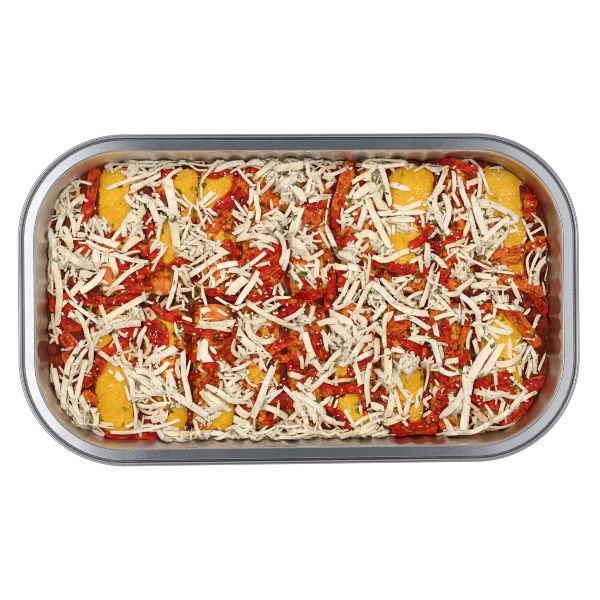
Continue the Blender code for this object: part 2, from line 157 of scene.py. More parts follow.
def tube_faces(rings, sides, first_cap=True, last_cap=True, closed=True):
    """Faces of rings of points, each with the same number of sides."""
    k = np.arange(sides if closed else sides - 1)
    n = (k + 1) % sides
    quads = []
    r = np.arange(rings - 1)[:, None] * sides
    quads = np.stack([r + k, r + n, r + sides + n, r + sides + k], -1).reshape(-1, 4)
    out = [quads]
    if first_cap:
        out.append(np.arange(sides)[::-1][None])
    if last_cap:
        out.append((np.arange(sides) + (rings - 1) * sides)[None])
    return out


# ------------------------------------------------------------------ materials
def shader(name):
    mat = bpy.data.materials.new(name)
    mat.use_nodes = True
    tree = mat.node_tree
    tree.nodes.clear()
    out = tree.nodes.new("ShaderNodeOutputMaterial")
    bsdf = tree.nodes.new("ShaderNodeBsdfPrincipled")
    tree.links.new(bsdf.outputs[0], out.inputs[0])
    return mat, tree, bsdf


class Nodes:
    """Short ways to add and join shader nodes."""

    def __init__(self, tree):
        self.t = tree
        self.coord = tree.nodes.new("ShaderNodeTexCoord").outputs["Object"]

    def put(self, socket, value):
        if isinstance(value, bpy.types.NodeSocket):
            self.t.links.new(value, socket)
        else:
            socket.default_value = value

    def noise(self, scale, detail=3.0, rough=0.55, vector=None, distort=0.0):
        n = self.t.nodes.new("ShaderNodeTexNoise")
        n.inputs["Scale"].default_value = scale
        n.inputs["Detail"].default_value = detail
        n.inputs["Roughness"].default_value = rough
        n.inputs["Distortion"].default_value = distort
        self.t.links.new(vector or self.coord, n.inputs["Vector"])
        return n.outputs["Fac"]

    def voronoi(self, scale, vector=None, feature="F1", out="Distance"):
        n = self.t.nodes.new("ShaderNodeTexVoronoi")
        n.feature = feature
        n.inputs["Scale"].default_value = scale
        self.t.links.new(vector or self.coord, n.inputs["Vector"])
        return n.outputs[out]

    def attr(self, name):
        n = self.t.nodes.new("ShaderNodeAttribute")
        n.attribute_name = name
        return n.outputs["Fac"]

    def ramp(self, fac, *stops):
        n = self.t.nodes.new("ShaderNodeValToRGB")
        e = n.color_ramp.elements
        while len(e) < len(stops):
            e.new(0.5)
        for k, (pos, col) in enumerate(stops):
            e[k].position = pos
            e[k].color = (*col, 1) if isinstance(col, tuple) else (col, col, col, 1)
        self.put(n.inputs["Fac"], fac)
        return n.outputs["Color"]

    def mix(self, fac, a, b, mode="MIX"):
        n = self.t.nodes.new("ShaderNodeMix")
        n.data_type = "RGBA"
        n.blend_type = mode
        self.put(n.inputs[0], fac)
        for s, v in ((n.inputs[6], a), (n.inputs[7], b)):
            self.put(s, (*v, 1) if isinstance(v, tuple) and len(v) == 3 else v)
        return n.outputs[2]

    def maths(self, op, a, b=0.5, c=None, clamp=False):
        n = self.t.nodes.new("ShaderNodeMath")
        n.operation = op
        n.use_clamp = clamp
        self.put(n.inputs[0], a)
        self.put(n.inputs[1], b)
        if c is not None:
            self.put(n.inputs[2], c)
        return n.outputs[0]

    def span(self, v, a, b, c=0.0, d=1.0):
        n = self.t.nodes.new("ShaderNodeMapRange")
        for s, x in zip(n.inputs, (v, a, b, c, d)):
            self.put(s, x)
        return n.outputs[0]

    def scaled(self, x, y, z):
        n = self.t.nodes.new("ShaderNodeMapping")
        n.inputs["Scale"].default_value = (x, y, z)
        self.t.links.new(self.coord, n.inputs["Vector"])
        return n.outputs[0]

    def bump(self, height, distance, strength=1.0, normal=None):
        n = self.t.nodes.new("ShaderNodeBump")
        n.inputs["Strength"].default_value = strength
        n.inputs["Distance"].default_value = distance
        self.t.links.new(height, n.inputs["Height"])
        if normal is not None:
            self.t.links.new(normal, n.inputs["Normal"])
        return n.outputs[0]


def foil_material():
    mat, tree, b = shader("foil")
    n = Nodes(tree)
    grain = n.noise(1500, 3, 0.6)
    smear = n.noise(60, 3, 0.5)
    tone = n.mix(n.span(grain, 0.3, 0.7), (0.855, 0.865, 0.89), (0.905, 0.91, 0.925))
    # Painted shade: the outer side of the foil gets a darker colour than the inner, so that it does not mirror the
    # bright floor as white.
    tone = n.mix(n.attr("outside"), tone, n.mix(n.span(smear, 0.3, 0.7), (0.36, 0.365, 0.375), (0.47, 0.475, 0.485)))
    # Painted shade: the fold attribute darkens the groove beside the curl and the curl's outer, lower side.
    n.put(b.inputs["Base Color"], n.mix(n.attr("fold"), tone, (0.16, 0.165, 0.175)))
    rough = n.maths("ADD", n.span(smear, 0.3, 0.7, 0.12, 0.17), n.span(grain, 0.35, 0.7, 0.0, 0.05))
    rough = n.maths("ADD", rough, n.maths("MULTIPLY", n.attr("outside"), n.span(smear, 0.3, 0.7, 0.16, 0.24)))
    n.put(b.inputs["Roughness"], n.maths("ADD", rough, n.maths("MULTIPLY", n.attr("wall"), n.span(smear, 0.3, 0.7, 0.20, 0.30))))
    fine = n.bump(grain, 0.00001, 0.2)
    n.put(b.inputs["Normal"], n.bump(smear, 0.00012, 0.25, fine))
    # Where oil has dried on the wall, the metal hardly shows.
    oil = n.span(n.attr("oil"), 0.2, 0.8)
    # Painted reflection and shade: the film attribute tints the wall's colour brown, most low down and at the right
    # end.
    film = n.maths("MULTIPLY", n.attr("film"), n.span(n.noise(120, 3), 0.3, 0.65, 0.6, 1.0))
    plain = n.mix(film, b.inputs["Base Color"].links[0].from_socket, (0.55, 0.30, 0.15), "MULTIPLY")
    n.put(b.inputs["Base Color"], n.mix(oil, plain, (0.60, 0.20, 0.018)))
    n.put(b.inputs["Metallic"], n.span(oil, 0.0, 1.0, 1.0, 0.35))
    return mat


def pasta_material():
    """Egg pasta: yellow on top, stained by sauce low down and where it is marked."""
    mat, tree, b = shader("egg_pasta")
    n = Nodes(tree)
    mottle = n.noise(160, 4, 0.55)
    fine = n.noise(900, 3, 0.6)
    broad = n.noise(42, 2, 0.5)
    yellow = n.ramp(mottle, (0.25, (0.66, 0.300, 0.004)), (0.5, (0.84, 0.465, 0.007)), (0.8, (0.91, 0.590, 0.026)))
    yellow = n.mix(n.span(broad, 0.35, 0.75, 0.0, 0.55), yellow, (0.74, 0.320, 0.003))
    yellow = n.mix(n.span(fine, 0.54, 0.74, 0.0, 0.65), yellow, (0.94, 0.680, 0.060))
    yellow = n.mix(n.span(fine, 0.46, 0.30, 0.0, 0.55), yellow, (0.58, 0.230, 0.002))
    film = n.maths("ADD", n.attr("sauced"), n.span(n.noise(210, 4, 0.68), 0.3, 0.72, 0.35, -0.95))
    orange = n.ramp(
        n.noise(250, 4, 0.62),
        (0.38, (0.10, 0.0035, 0.001)),
        (0.48, (0.40, 0.018, 0.0015)),
        (0.55, (0.64, 0.080, 0.004)),
        (0.64, (0.82, 0.240, 0.012)),
        (0.80, (0.92, 0.550, 0.100)),
    )
    salmon = n.ramp(n.noise(260, 4, 0.6), (0.35, (0.66, 0.100, 0.006)), (0.52, (0.84, 0.260, 0.040)), (0.70, (0.90, 0.470, 0.190)))
    orange = n.mix(n.maths("MULTIPLY", n.attr("salmon"), n.span(n.noise(120, 3), 0.35, 0.55, 0.4, 1.0)), orange, salmon)
    n.put(b.inputs["Base Color"], n.mix(n.span(film, 0.30, 0.70), yellow, orange))
    n.put(b.inputs["Roughness"], n.span(mottle, 0.3, 0.7, 0.30, 0.46))
    b.inputs["Subsurface Weight"].default_value = 0.12
    b.inputs["Subsurface Radius"].default_value = (1.0, 0.55, 0.08)
    b.inputs["Subsurface Scale"].default_value = 0.0016
    b.inputs["Specular IOR Level"].default_value = 0.14
    rough = n.bump(fine, 0.00030, 0.8)
    n.put(b.inputs["Normal"], n.bump(n.noise(330, 3, 0.55), 0.0003, 0.45, rough))
    return mat


def cheese_material(name, warm=0.0):
    """Grated cheese: cream white, a little darker and yellower piece by piece, and orange where sauce stains it; the
    lower layers' darker tones and orange are partly painted warm shade.
    """
    mat, tree, b = shader(name)
    n = Nodes(tree)
    tone = n.attr("tone")
    pale = n.ramp(
        tone,
        (0.0, (0.88, 0.665, 0.37)),
        (0.35, (0.915, 0.775, 0.555)),
        (0.7, (0.93, 0.830, 0.68)),
        (1.0, (0.935, 0.865, 0.77)),
    )
    cloud = n.noise(330, 3, 0.6)
    pale = n.mix(n.span(cloud, 0.42, 0.75, 0.0, 0.30), pale, (0.88, 0.76, 0.50))
    # Orange: partly sauce stain, partly painted warm shade between the shreds.
    stain = n.maths("MULTIPLY", n.attr("stain"), n.span(n.noise(210, 4, 0.6), 0.35, 0.62))
    pale = n.mix(stain, pale, (0.66, 0.27, 0.075))
    n.put(b.inputs["Base Color"], pale)
    n.put(b.inputs["Roughness"], n.span(cloud, 0.3, 0.7, 0.42, 0.58))
    b.inputs["Subsurface Weight"].default_value = 0.35
    b.inputs["Subsurface Radius"].default_value = (1.0, 0.60, 0.38)
    b.inputs["Subsurface Scale"].default_value = 0.0017
    b.inputs["Specular IOR Level"].default_value = 0.16
    pits = n.bump(n.noise(2100, 2, 0.5), 0.00010, 0.6)
    n.put(b.inputs["Normal"], n.bump(n.noise(620, 3, 0.6), 0.00022, 0.55, pits))
    return mat


def tomato_material():
    """Oiled sun-dried tomato: deep red skin and orange flesh at the edges; a painted highlight makes its ridges more
    orange, and painted shade darkens its creases.
    """
    mat, tree, b = shader("dried_tomato")
    n = Nodes(tree)
    patch = n.noise(190, 4, 0.6)
    fine = n.noise(760, 4, 0.6)
    red = n.ramp(
        patch,
        (0.30, (0.180, 0.0012, 0.0004)),
        (0.43, (0.44, 0.0035, 0.0006)),
        (0.55, (0.64, 0.012, 0.0010)),
        (0.72, (0.80, 0.070, 0.0035)),
    )
    flesh = n.ramp(fine, (0.3, (0.60, 0.045, 0.003)), (0.55, (0.80, 0.150, 0.008)), (0.8, (0.90, 0.340, 0.030)))
    share = n.maths("ADD", n.attr("flesh"), n.span(n.noise(150, 4, 0.65), 0.3, 0.7, -0.40, 0.45))
    skin = n.mix(n.span(share, 0.42, 0.72), red, flesh)
    # Painted shade: the creases are darkened to a near black red.
    dark = n.maths("MULTIPLY", n.attr("crease"), n.span(n.noise(420, 3, 0.6), 0.30, 0.62, 0.30, 0.95))
    n.put(b.inputs["Base Color"], n.mix(dark, skin, (0.085, 0.0012, 0.0006)))
    n.put(b.inputs["Roughness"], n.span(fine, 0.3, 0.7, 0.10, 0.32))
    b.inputs["Subsurface Weight"].default_value = 0.08
    b.inputs["Subsurface Radius"].default_value = (1.0, 0.15, 0.05)
    b.inputs["Subsurface Scale"].default_value = 0.0012
    b.inputs["Specular IOR Level"].default_value = 0.24
    ripple = n.bump(n.voronoi(560, feature="SMOOTH_F1"), 0.0008, 0.9)
    n.put(b.inputs["Normal"], n.bump(fine, 0.0007, 0.9, ripple))
    return mat


def sauce_material():
    """Tomato sauce with pulp, going to orange oil where it meets the wall."""
    mat, tree, b = shader("tomato_sauce")
    n = Nodes(tree)
    pulp = n.noise(210, 5, 0.62)
    red = n.ramp(
        pulp,
        (0.30, (0.022, 0.0018, 0.0006)),
        (0.45, (0.11, 0.0055, 0.0010)),
        (0.60, (0.29, 0.0190, 0.0020)),
        (0.78, (0.56, 0.1000, 0.0070)),
    )
    oil = n.mix(n.span(n.noise(300, 4), 0.35, 0.65), (0.34, 0.060, 0.002), (0.72, 0.25, 0.008))
    n.put(b.inputs["Base Color"], n.mix(n.attr("oil"), red, oil))
    n.put(b.inputs["Roughness"], n.span(pulp, 0.3, 0.7, 0.12, 0.30))
    b.inputs["Specular IOR Level"].default_value = 0.16
    b.inputs["Subsurface Weight"].default_value = 0.10
    b.inputs["Subsurface Radius"].default_value = (1.0, 0.2, 0.05)
    b.inputs["Subsurface Scale"].default_value = 0.0015
    n.put(b.inputs["Normal"], n.bump(pulp, 0.0012, 0.6))
    return mat


def leaf_material():
    mat, tree, b = shader("chopped_parsley")
    n = Nodes(tree)
    green = n.ramp(n.attr("tone"), (0.0, (0.060, 0.090, 0.004)), (0.5, (0.175, 0.220, 0.009)), (1.0, (0.36, 0.41, 0.030)))
    green = n.mix(n.span(n.noise(900, 3), 0.40, 0.7, 0.0, 0.4), green, (0.050, 0.080, 0.006))
    n.put(b.inputs["Base Color"], green)
    n.put(b.inputs["Roughness"], n.span(n.noise(1300, 2), 0.3, 0.7, 0.35, 0.6))
    b.inputs["Specular IOR Level"].default_value = 0.15
    b.inputs["Subsurface Weight"].default_value = 0.1
    b.inputs["Subsurface Radius"].default_value = (0.4, 1.0, 0.1)
    b.inputs["Subsurface Scale"].default_value = 0.0005
    n.put(b.inputs["Normal"], n.bump(n.noise(1900, 2), 0.0001, 0.5))
    return mat


def seed_material():
    mat, tree, b = shader("tomato_seed")
    n = Nodes(tree)
    n.put(b.inputs["Base Color"], n.mix(n.noise(1300, 3), (0.78, 0.40, 0.07), (0.90, 0.62, 0.20)))
    n.put(b.inputs["Roughness"], n.span(n.noise(900, 2), 0.3, 0.7, 0.22, 0.4))
    b.inputs["Coat Weight"].default_value = 0.3
    b.inputs["Subsurface Weight"].default_value = 0.2
    b.inputs["Subsurface Radius"].default_value = (1.0, 0.5, 0.2)
    b.inputs["Subsurface Scale"].default_value = 0.0008
    n.put(b.inputs["Normal"], n.bump(n.noise(2400, 2), 0.00008, 0.5))
    return mat


FOIL, PASTA, TOMATO, SAUCE = foil_material(), pasta_material(), tomato_material(), sauce_material()
CHEESE, LEAF, SEED = cheese_material("grated_cheese"), leaf_material(), seed_material()


# ----------------------------------------------------------------- foil tray
FLUTES = ((6, 11.3), (16, 10.5), (6, 11.3), (16, 10.5))  # count, pitch of each side


def scoop(u, count):
    """Ridge height 0 to 1, and how far into its flute, at u flutes from a run's start."""
    phase = (u - np.floor(u)) * 2 - 1
    arch = (1 - np.sqrt(1 - (0.94 * phase) ** 2)) / (1 - math.sqrt(1 - 0.94**2))
    inside = (u >= 0) & (u <= count)
    past = np.where(u < 0, -u, u - count)
    ridge = np.where(inside, arch, 1 - smooth(past / 0.33))
    return ridge, np.where(inside, np.abs(phase), 1.0), inside


def outline(step):
    """Stations round the tray: core point, outward way, ridge, place in its flute."""
    cx, cy = HX - CORNER, HY - CORNER
    core, way, ridge, place = [], [], [], []
    corners = [(cx, -cy), (cx, cy), (-cx, cy), (-cx, -cy)]
    spans = [2 * cy, 2 * cx, 2 * cy, 2 * cx]
    for q in range(4):
        a, b = np.array(corners[q]), np.array(corners[(q + 1) % 4])
        length, (count, pitch) = spans[q], FLUTES[q]
        n = max(2, int(round(length / step)))
        s = np.linspace(0, length, n + 1)
        r, f, ins = scoop((s - length / 2) / pitch + count / 2, count)
        out = np.array([math.cos(q * math.pi / 2), math.sin(q * math.pi / 2)])
        for k in range(n + 1):
            core.append(a + (b - a) * s[k] / length)
            way.append(out)
            ridge.append(r[k])
            place.append(f[k] if ins[k] else 1.0)
        m = int(round(CORNER * math.pi / 2 / step))
        next_length, (next_count, next_pitch) = spans[(q + 1) % 4], FLUTES[(q + 1) % 4]
        for k in range(1, m):
            t = math.pi / 2 * k / m
            d = t * 48.0  # how far along the wall from this side's end
            e = (math.pi / 2 - t) * 48.0
            r1 = scoop(np.array((length / 2 + d) / pitch + count / 2), count)[0]
            r2 = scoop(np.array((-next_length / 2 - e) / next_pitch + next_count / 2), next_count)[0]
            core.append(b)
            way.append(np.array([math.cos(q * math.pi / 2 + t), math.sin(q * math.pi / 2 + t)]))
            ridge.append(float(max(r1, r2)))
            place.append(1.0)
    core, way, ridge, place = np.array(core), np.array(way), np.array(ridge), np.array(place)
    # Rounds the crests, so that no ridge is a knife edge.
    for _ in range(max(1, int(round(1.6 / step)))):
        ridge = 0.25 * np.roll(ridge, 1) + 0.5 * ridge + 0.25 * np.roll(ridge, -1)
    return core, way, ridge, place


WALL_TOP = RIM_Z - 1.95


def wall_in(z):
    """Inset of the wall's inner face from the rim's outer edge at a height."""
    return RIM_IN + (RIM_Z - 1.6 - z) * DRAFT


def wall_push(z, ridge, place):
    """How far the fluted wall stands inward of the plain one."""
    foot = smooth((z - 6.0) / 4.0)
    room = np.maximum(WALL_TOP - 0.2 - z, 0.0)
    out = np.minimum(1.45 * ridge, room * 0.9)
    crown = WALL_TOP - 0.9 - 2.6 * place**3
    pressed = 0.6 * (1 - ridge) * smooth((crown - z) / 0.9) * (place < 1.0)
    return (out - pressed) * foot


def ridge_at(x, y):
    """How near a flute's ridge the wall beside a place is, 0 to 1."""
    cx, cy = HX - CORNER, HY - CORNER
    ends = np.abs(x) - cx > np.abs(y) - cy
    along = np.where(ends, y / FLUTES[0][1] + FLUTES[0][0] / 2, x / FLUTES[1][1] + FLUTES[1][0] / 2)
    return scoop(along, np.where(ends, FLUTES[0][0], FLUTES[1][0]))[0]


def kept_in(x, y, z, gap=0.3):
    """Moves points that lie past the wall back inside it."""
    cx, cy = HX - CORNER, HY - CORNER
    inset = wall_in(np.maximum(z, 5.5)) + 1.45 * ridge_at(x, y) + gap
    drop = np.clip((5.5 - z) / 5.0, 0, 0.98)
    inset = inset + 5.0 * (1 - np.sqrt(1 - drop * drop))
    dx, dy = np.maximum(np.abs(x) - cx, 0), np.maximum(np.abs(y) - cy, 0)
    reach, room = np.hypot(dx, dy), CORNER - inset
    share = np.where(reach > room, room / np.maximum(reach, 1e-6), 1.0)
    nx = np.where(np.abs(x) > cx, np.sign(x) * (cx + dx * share), x)
    ny = np.where(np.abs(y) > cy, np.sign(y) * (cy + dy * share), y)
    return nx, ny


def keep_inside(pile):
    """Moves any of a pile's points that lie past the wall back inside it."""
    for v in pile.v:
        v[:, 0], v[:, 1] = kept_in(v[:, 0], v[:, 1], v[:, 2])


def wall_reach(x, y):
    """How far points are from the rim's outer edge, inward."""
    cx, cy = HX - CORNER, HY - CORNER
    return CORNER - np.hypot(np.maximum(np.abs(x) - cx, 0), np.maximum(np.abs(y) - cy, 0))


def build_tray():
    core, way, ridge, place = outline(1.2)
    n, h, foil = len(core), RIM_Z, 0.28
    bend = wall_in(5.5) + 5.0
    base = [(bend + 30, foil), (bend + 12, foil), (bend + 6, foil), (bend + 1.2, foil)]
    base += [(bend - 5 * math.sin(t), foil + 5 - 5 * math.cos(t)) for t in np.linspace(0, math.radians(82), 7)]
    heights = [7.0, 9.0, 12.0, 16.0, 20.0, 24.0, 28.0, 31.5, 34.5, 36.5, 37.8]
    heights += list(np.arange(38.6, WALL_TOP - 0.1, 0.42)) + [WALL_TOP]
    bead = 1.25
    rim = [
        (RIM_IN - bead + bead * math.cos(t), h - 0.62 - bead + bead * math.sin(t))
        for t in np.radians(np.linspace(6, 90, 7))
    ]
    flat = h - 0.62
    rim += [(RIM_IN - bead - 0.12, flat), (RIM_IN - bead - 0.3, flat), (7.4, flat), (5.4, flat), (4.5, flat), (4.25, flat)]
    rim += [(4.02, h - 0.70), (3.84, h - 1.0), (3.68, h - 1.7), (3.42, h - 2.15), (3.1, h - 2.2), (2.86, h - 1.95)]
    r = 1.36
    rim += [(r - r * math.cos(t), h - r + r * math.sin(t)) for t in np.radians(np.linspace(150, -95, 16))]
    rim += [(2.3, h - 2.55), (3.0, h - 2.5), (3.75, h - 2.4), (4.05, h - 1.9), (4.3, h - 0.9), (6.6, h - 0.9), (8.2, h - 0.9)]
    rim += [(RIM_IN - foil - 0.75, h - 1.02), (RIM_IN - foil - 0.25, h - 1.25), (RIM_IN - foil - 0.02, h - 1.5)]
    s = 5 + foil
    under = [(bend - s * math.sin(t), s - s * math.cos(t)) for t in np.linspace(math.radians(82), 0, 7)]
    under += [(bend + 1.2, 0.0), (bend + 6, 0.0), (bend + 12, 0.0), (bend + 30, 0.0)]
    profile = [(d, z, 0) for d, z in base] + [(wall_in(z), z, 1) for z in heights] + [(d, z, 0) for d, z in rim]
    profile += [(wall_in(z) - foil, z, 1) for z in reversed(heights[:-1])] + [(d, z, 0) for d, z in under]
    verts, fold_shades, walls, oils, painted_reflections, outsides = [], [], [], [], [], []
    edge = np.column_stack([core + way * CORNER, np.zeros(n)])
    line = SAUCE_Z + 1.0 + 0.7 * noise3(edge, 13.0, 61)
    # Oil has dried in a line along the left and the near right.
    soiled = smooth((np.abs(edge[:, 0]) - 100) / 30) * np.where(edge[:, 0] > 0, smooth((20 - edge[:, 1]) / 40), smooth((85 - edge[:, 1]) / 20))
    soiled = soiled * smooth(0.75 + 0.9 * noise3(edge, 21.0, 62))
    # Painted reflection of the sauce: a brown tint on the wall, most at the right end.
    film = smooth((edge[:, 0] - 15) / 110) + 0.55 * smooth((-105 - edge[:, 0]) / 25) * smooth((12 - edge[:, 1]) / 30)
    film = np.clip(0.10 + film * (0.9 + 0.35 * noise3(edge, 17.0, 63)), 0, 1)
    for k, (inset, z, fluted) in enumerate(profile):
        # The groove beside the curl and the curl's outer, lower side get painted shade: a darker colour stands for the
        # shade there.
        groove = 3.3 < inset < 3.9 and z > h - 2.4
        outer = inset < 0.42 and z < h - 0.75
        fold_shades.append(np.full(n, 0.8 if groove else 0.7 if outer else 0.0))
        # The painted reflection and shade grow stronger lower down the wall.
        depth = 0.25 + 0.75 * smooth((WALL_TOP - z) / 4.5)
        painted_reflections.append(np.minimum(film * depth + 0.22 * smooth((41.0 - z) / 4), 1) if fluted and k < len(base) + len(heights) else np.zeros(n))
        oils.append(np.exp(-(((z - line) / 0.5) ** 2)) * soiled if fluted and k < len(base) + len(heights) else np.zeros(n))
        walls.append(np.full(n, 1.0 if z < h - 1.5 and k < len(base) + len(heights) else 0.0))
        # Marks the outer side, which the foil material paints with shade.
        outsides.append(np.full(n, 1.0 if k >= len(base) + len(heights) + len(rim) - 10 else 0.0))
        d = inset + (wall_push(z, ridge, place) if fluted else np.zeros(n))
        pts = np.column_stack([core + way * (CORNER - d)[:, None], np.full(n, z)])
        if fluted:  # small dents that handling leaves in thin foil
            dent = noise3(pts, 38, 5) * 0.10 + noise3(pts, 11, 6) * 0.06
            fade = smooth((z - 6) / 4) * smooth((WALL_TOP - z) / 5)
            pts[:, :2] += way * (dent * fade)[:, None]
        elif z > h - 3:
            pts[:, 2] += noise3(np.column_stack([pts[:, :2], np.zeros(n)]), 26, 8) * 0.05 - 0.05
        verts.append(pts)
    pile = Pile("fold", "wall", "oil", "film", "outside")
    pile.add(
        np.concatenate(verts),
        tube_faces(len(profile), n, False, False),
        fold=np.concatenate(fold_shades),
        wall=np.concatenate(walls),
        oil=np.concatenate(oils),
        film=np.concatenate(painted_reflections),
        outside=np.concatenate(outsides),
    )
    k, last = np.arange(n), (len(profile) - 1) * n
    for first, z in ((0, foil), (last, 0.0)):
        start = pile.count
        pile.add(np.column_stack([core[:, 0] * 0.55, core[:, 1] * 0.0, np.full(n, z)]), [])
        pile.f.append((np.stack([first + k, first + (k + 1) % n, start + (k + 1) % n, start + k], -1), 4))
    ob = pile.build("foil_tray", FOIL, "foil", replaces=["tray"], weld=True, sharp=60)
    return ob


TRAY = build_tray()


# ------------------------------------------------------------------ the layout
# Everything below is laid out in millimetres in the tray's own frame, seen from
# above: x along the tray, y towards its far side.

# Bare pasta: middle x, y, half sizes along x and y, and how clean it is.
BARE = [
    (-109, 62, 9, 20, 1),
    (-78, 36, 6, 11, 1),
    (-63, 68, 12, 13, 1),
    (-114, 48, 5, 8, 0.9),
    (127, 49, 6, 6, 0.8),
    (121, -31, 13, 17, 0.85),
    (-48, 65, 9, 12, 1),
    (68, 66, 17, 13, 1),
    (61, 37, 9, 10, 0.9),
    (63, 24, 6, 4, 0.8),
    (122, 64, 13, 16, 1),
    (130, 38, 8, 12, 0.95),
    (131, 18, 8, 11, 0.9),
    (-110, -58, 11, 20, 1),
    (-115, -25, 5, 6, 0.85),
    (-80, -18, 6, 13, 0.95),
    (-68, -69, 10, 8, 1),
    (-45, -65, 6, 12, 0.95),
    (-26, -46, 5, 6, 0.5),
    (24, -39, 4, 8, 0.75),
    (29, -65, 7, 9, 1),
    (37, -73, 4, 3, 0.9),
    (65, -51, 9, 9, 1),
    (70, -67, 6, 6, 0.9),
    (127, -30, 8, 9, 1),
    (131, -47, 5, 5, 0.8),
    (101, -73, 3, 4, 0.5),
    (133, -8, 5, 6, 0.65),
    (-61, 71, 6, 8, 1),
    (-82, -12, 7, 6, 0.7),
    (125, 20, 6, 6, 0.6),
    (117, 77, 9, 5, 1),
]
# Pasta stained orange through by the sauce.
STAINED = [(-81, 6, 8, 6), (-48, -6, 9, 8), (-6, 11, 5, 9), (-10, -21, 6, 4), (-115, 12, 5, 9), (-85, 6, 6, 5), (-138, -35, 4, 6), (-7, 8, 5, 6), (131, 12, 6, 9), (135, 27, 5, 7)]

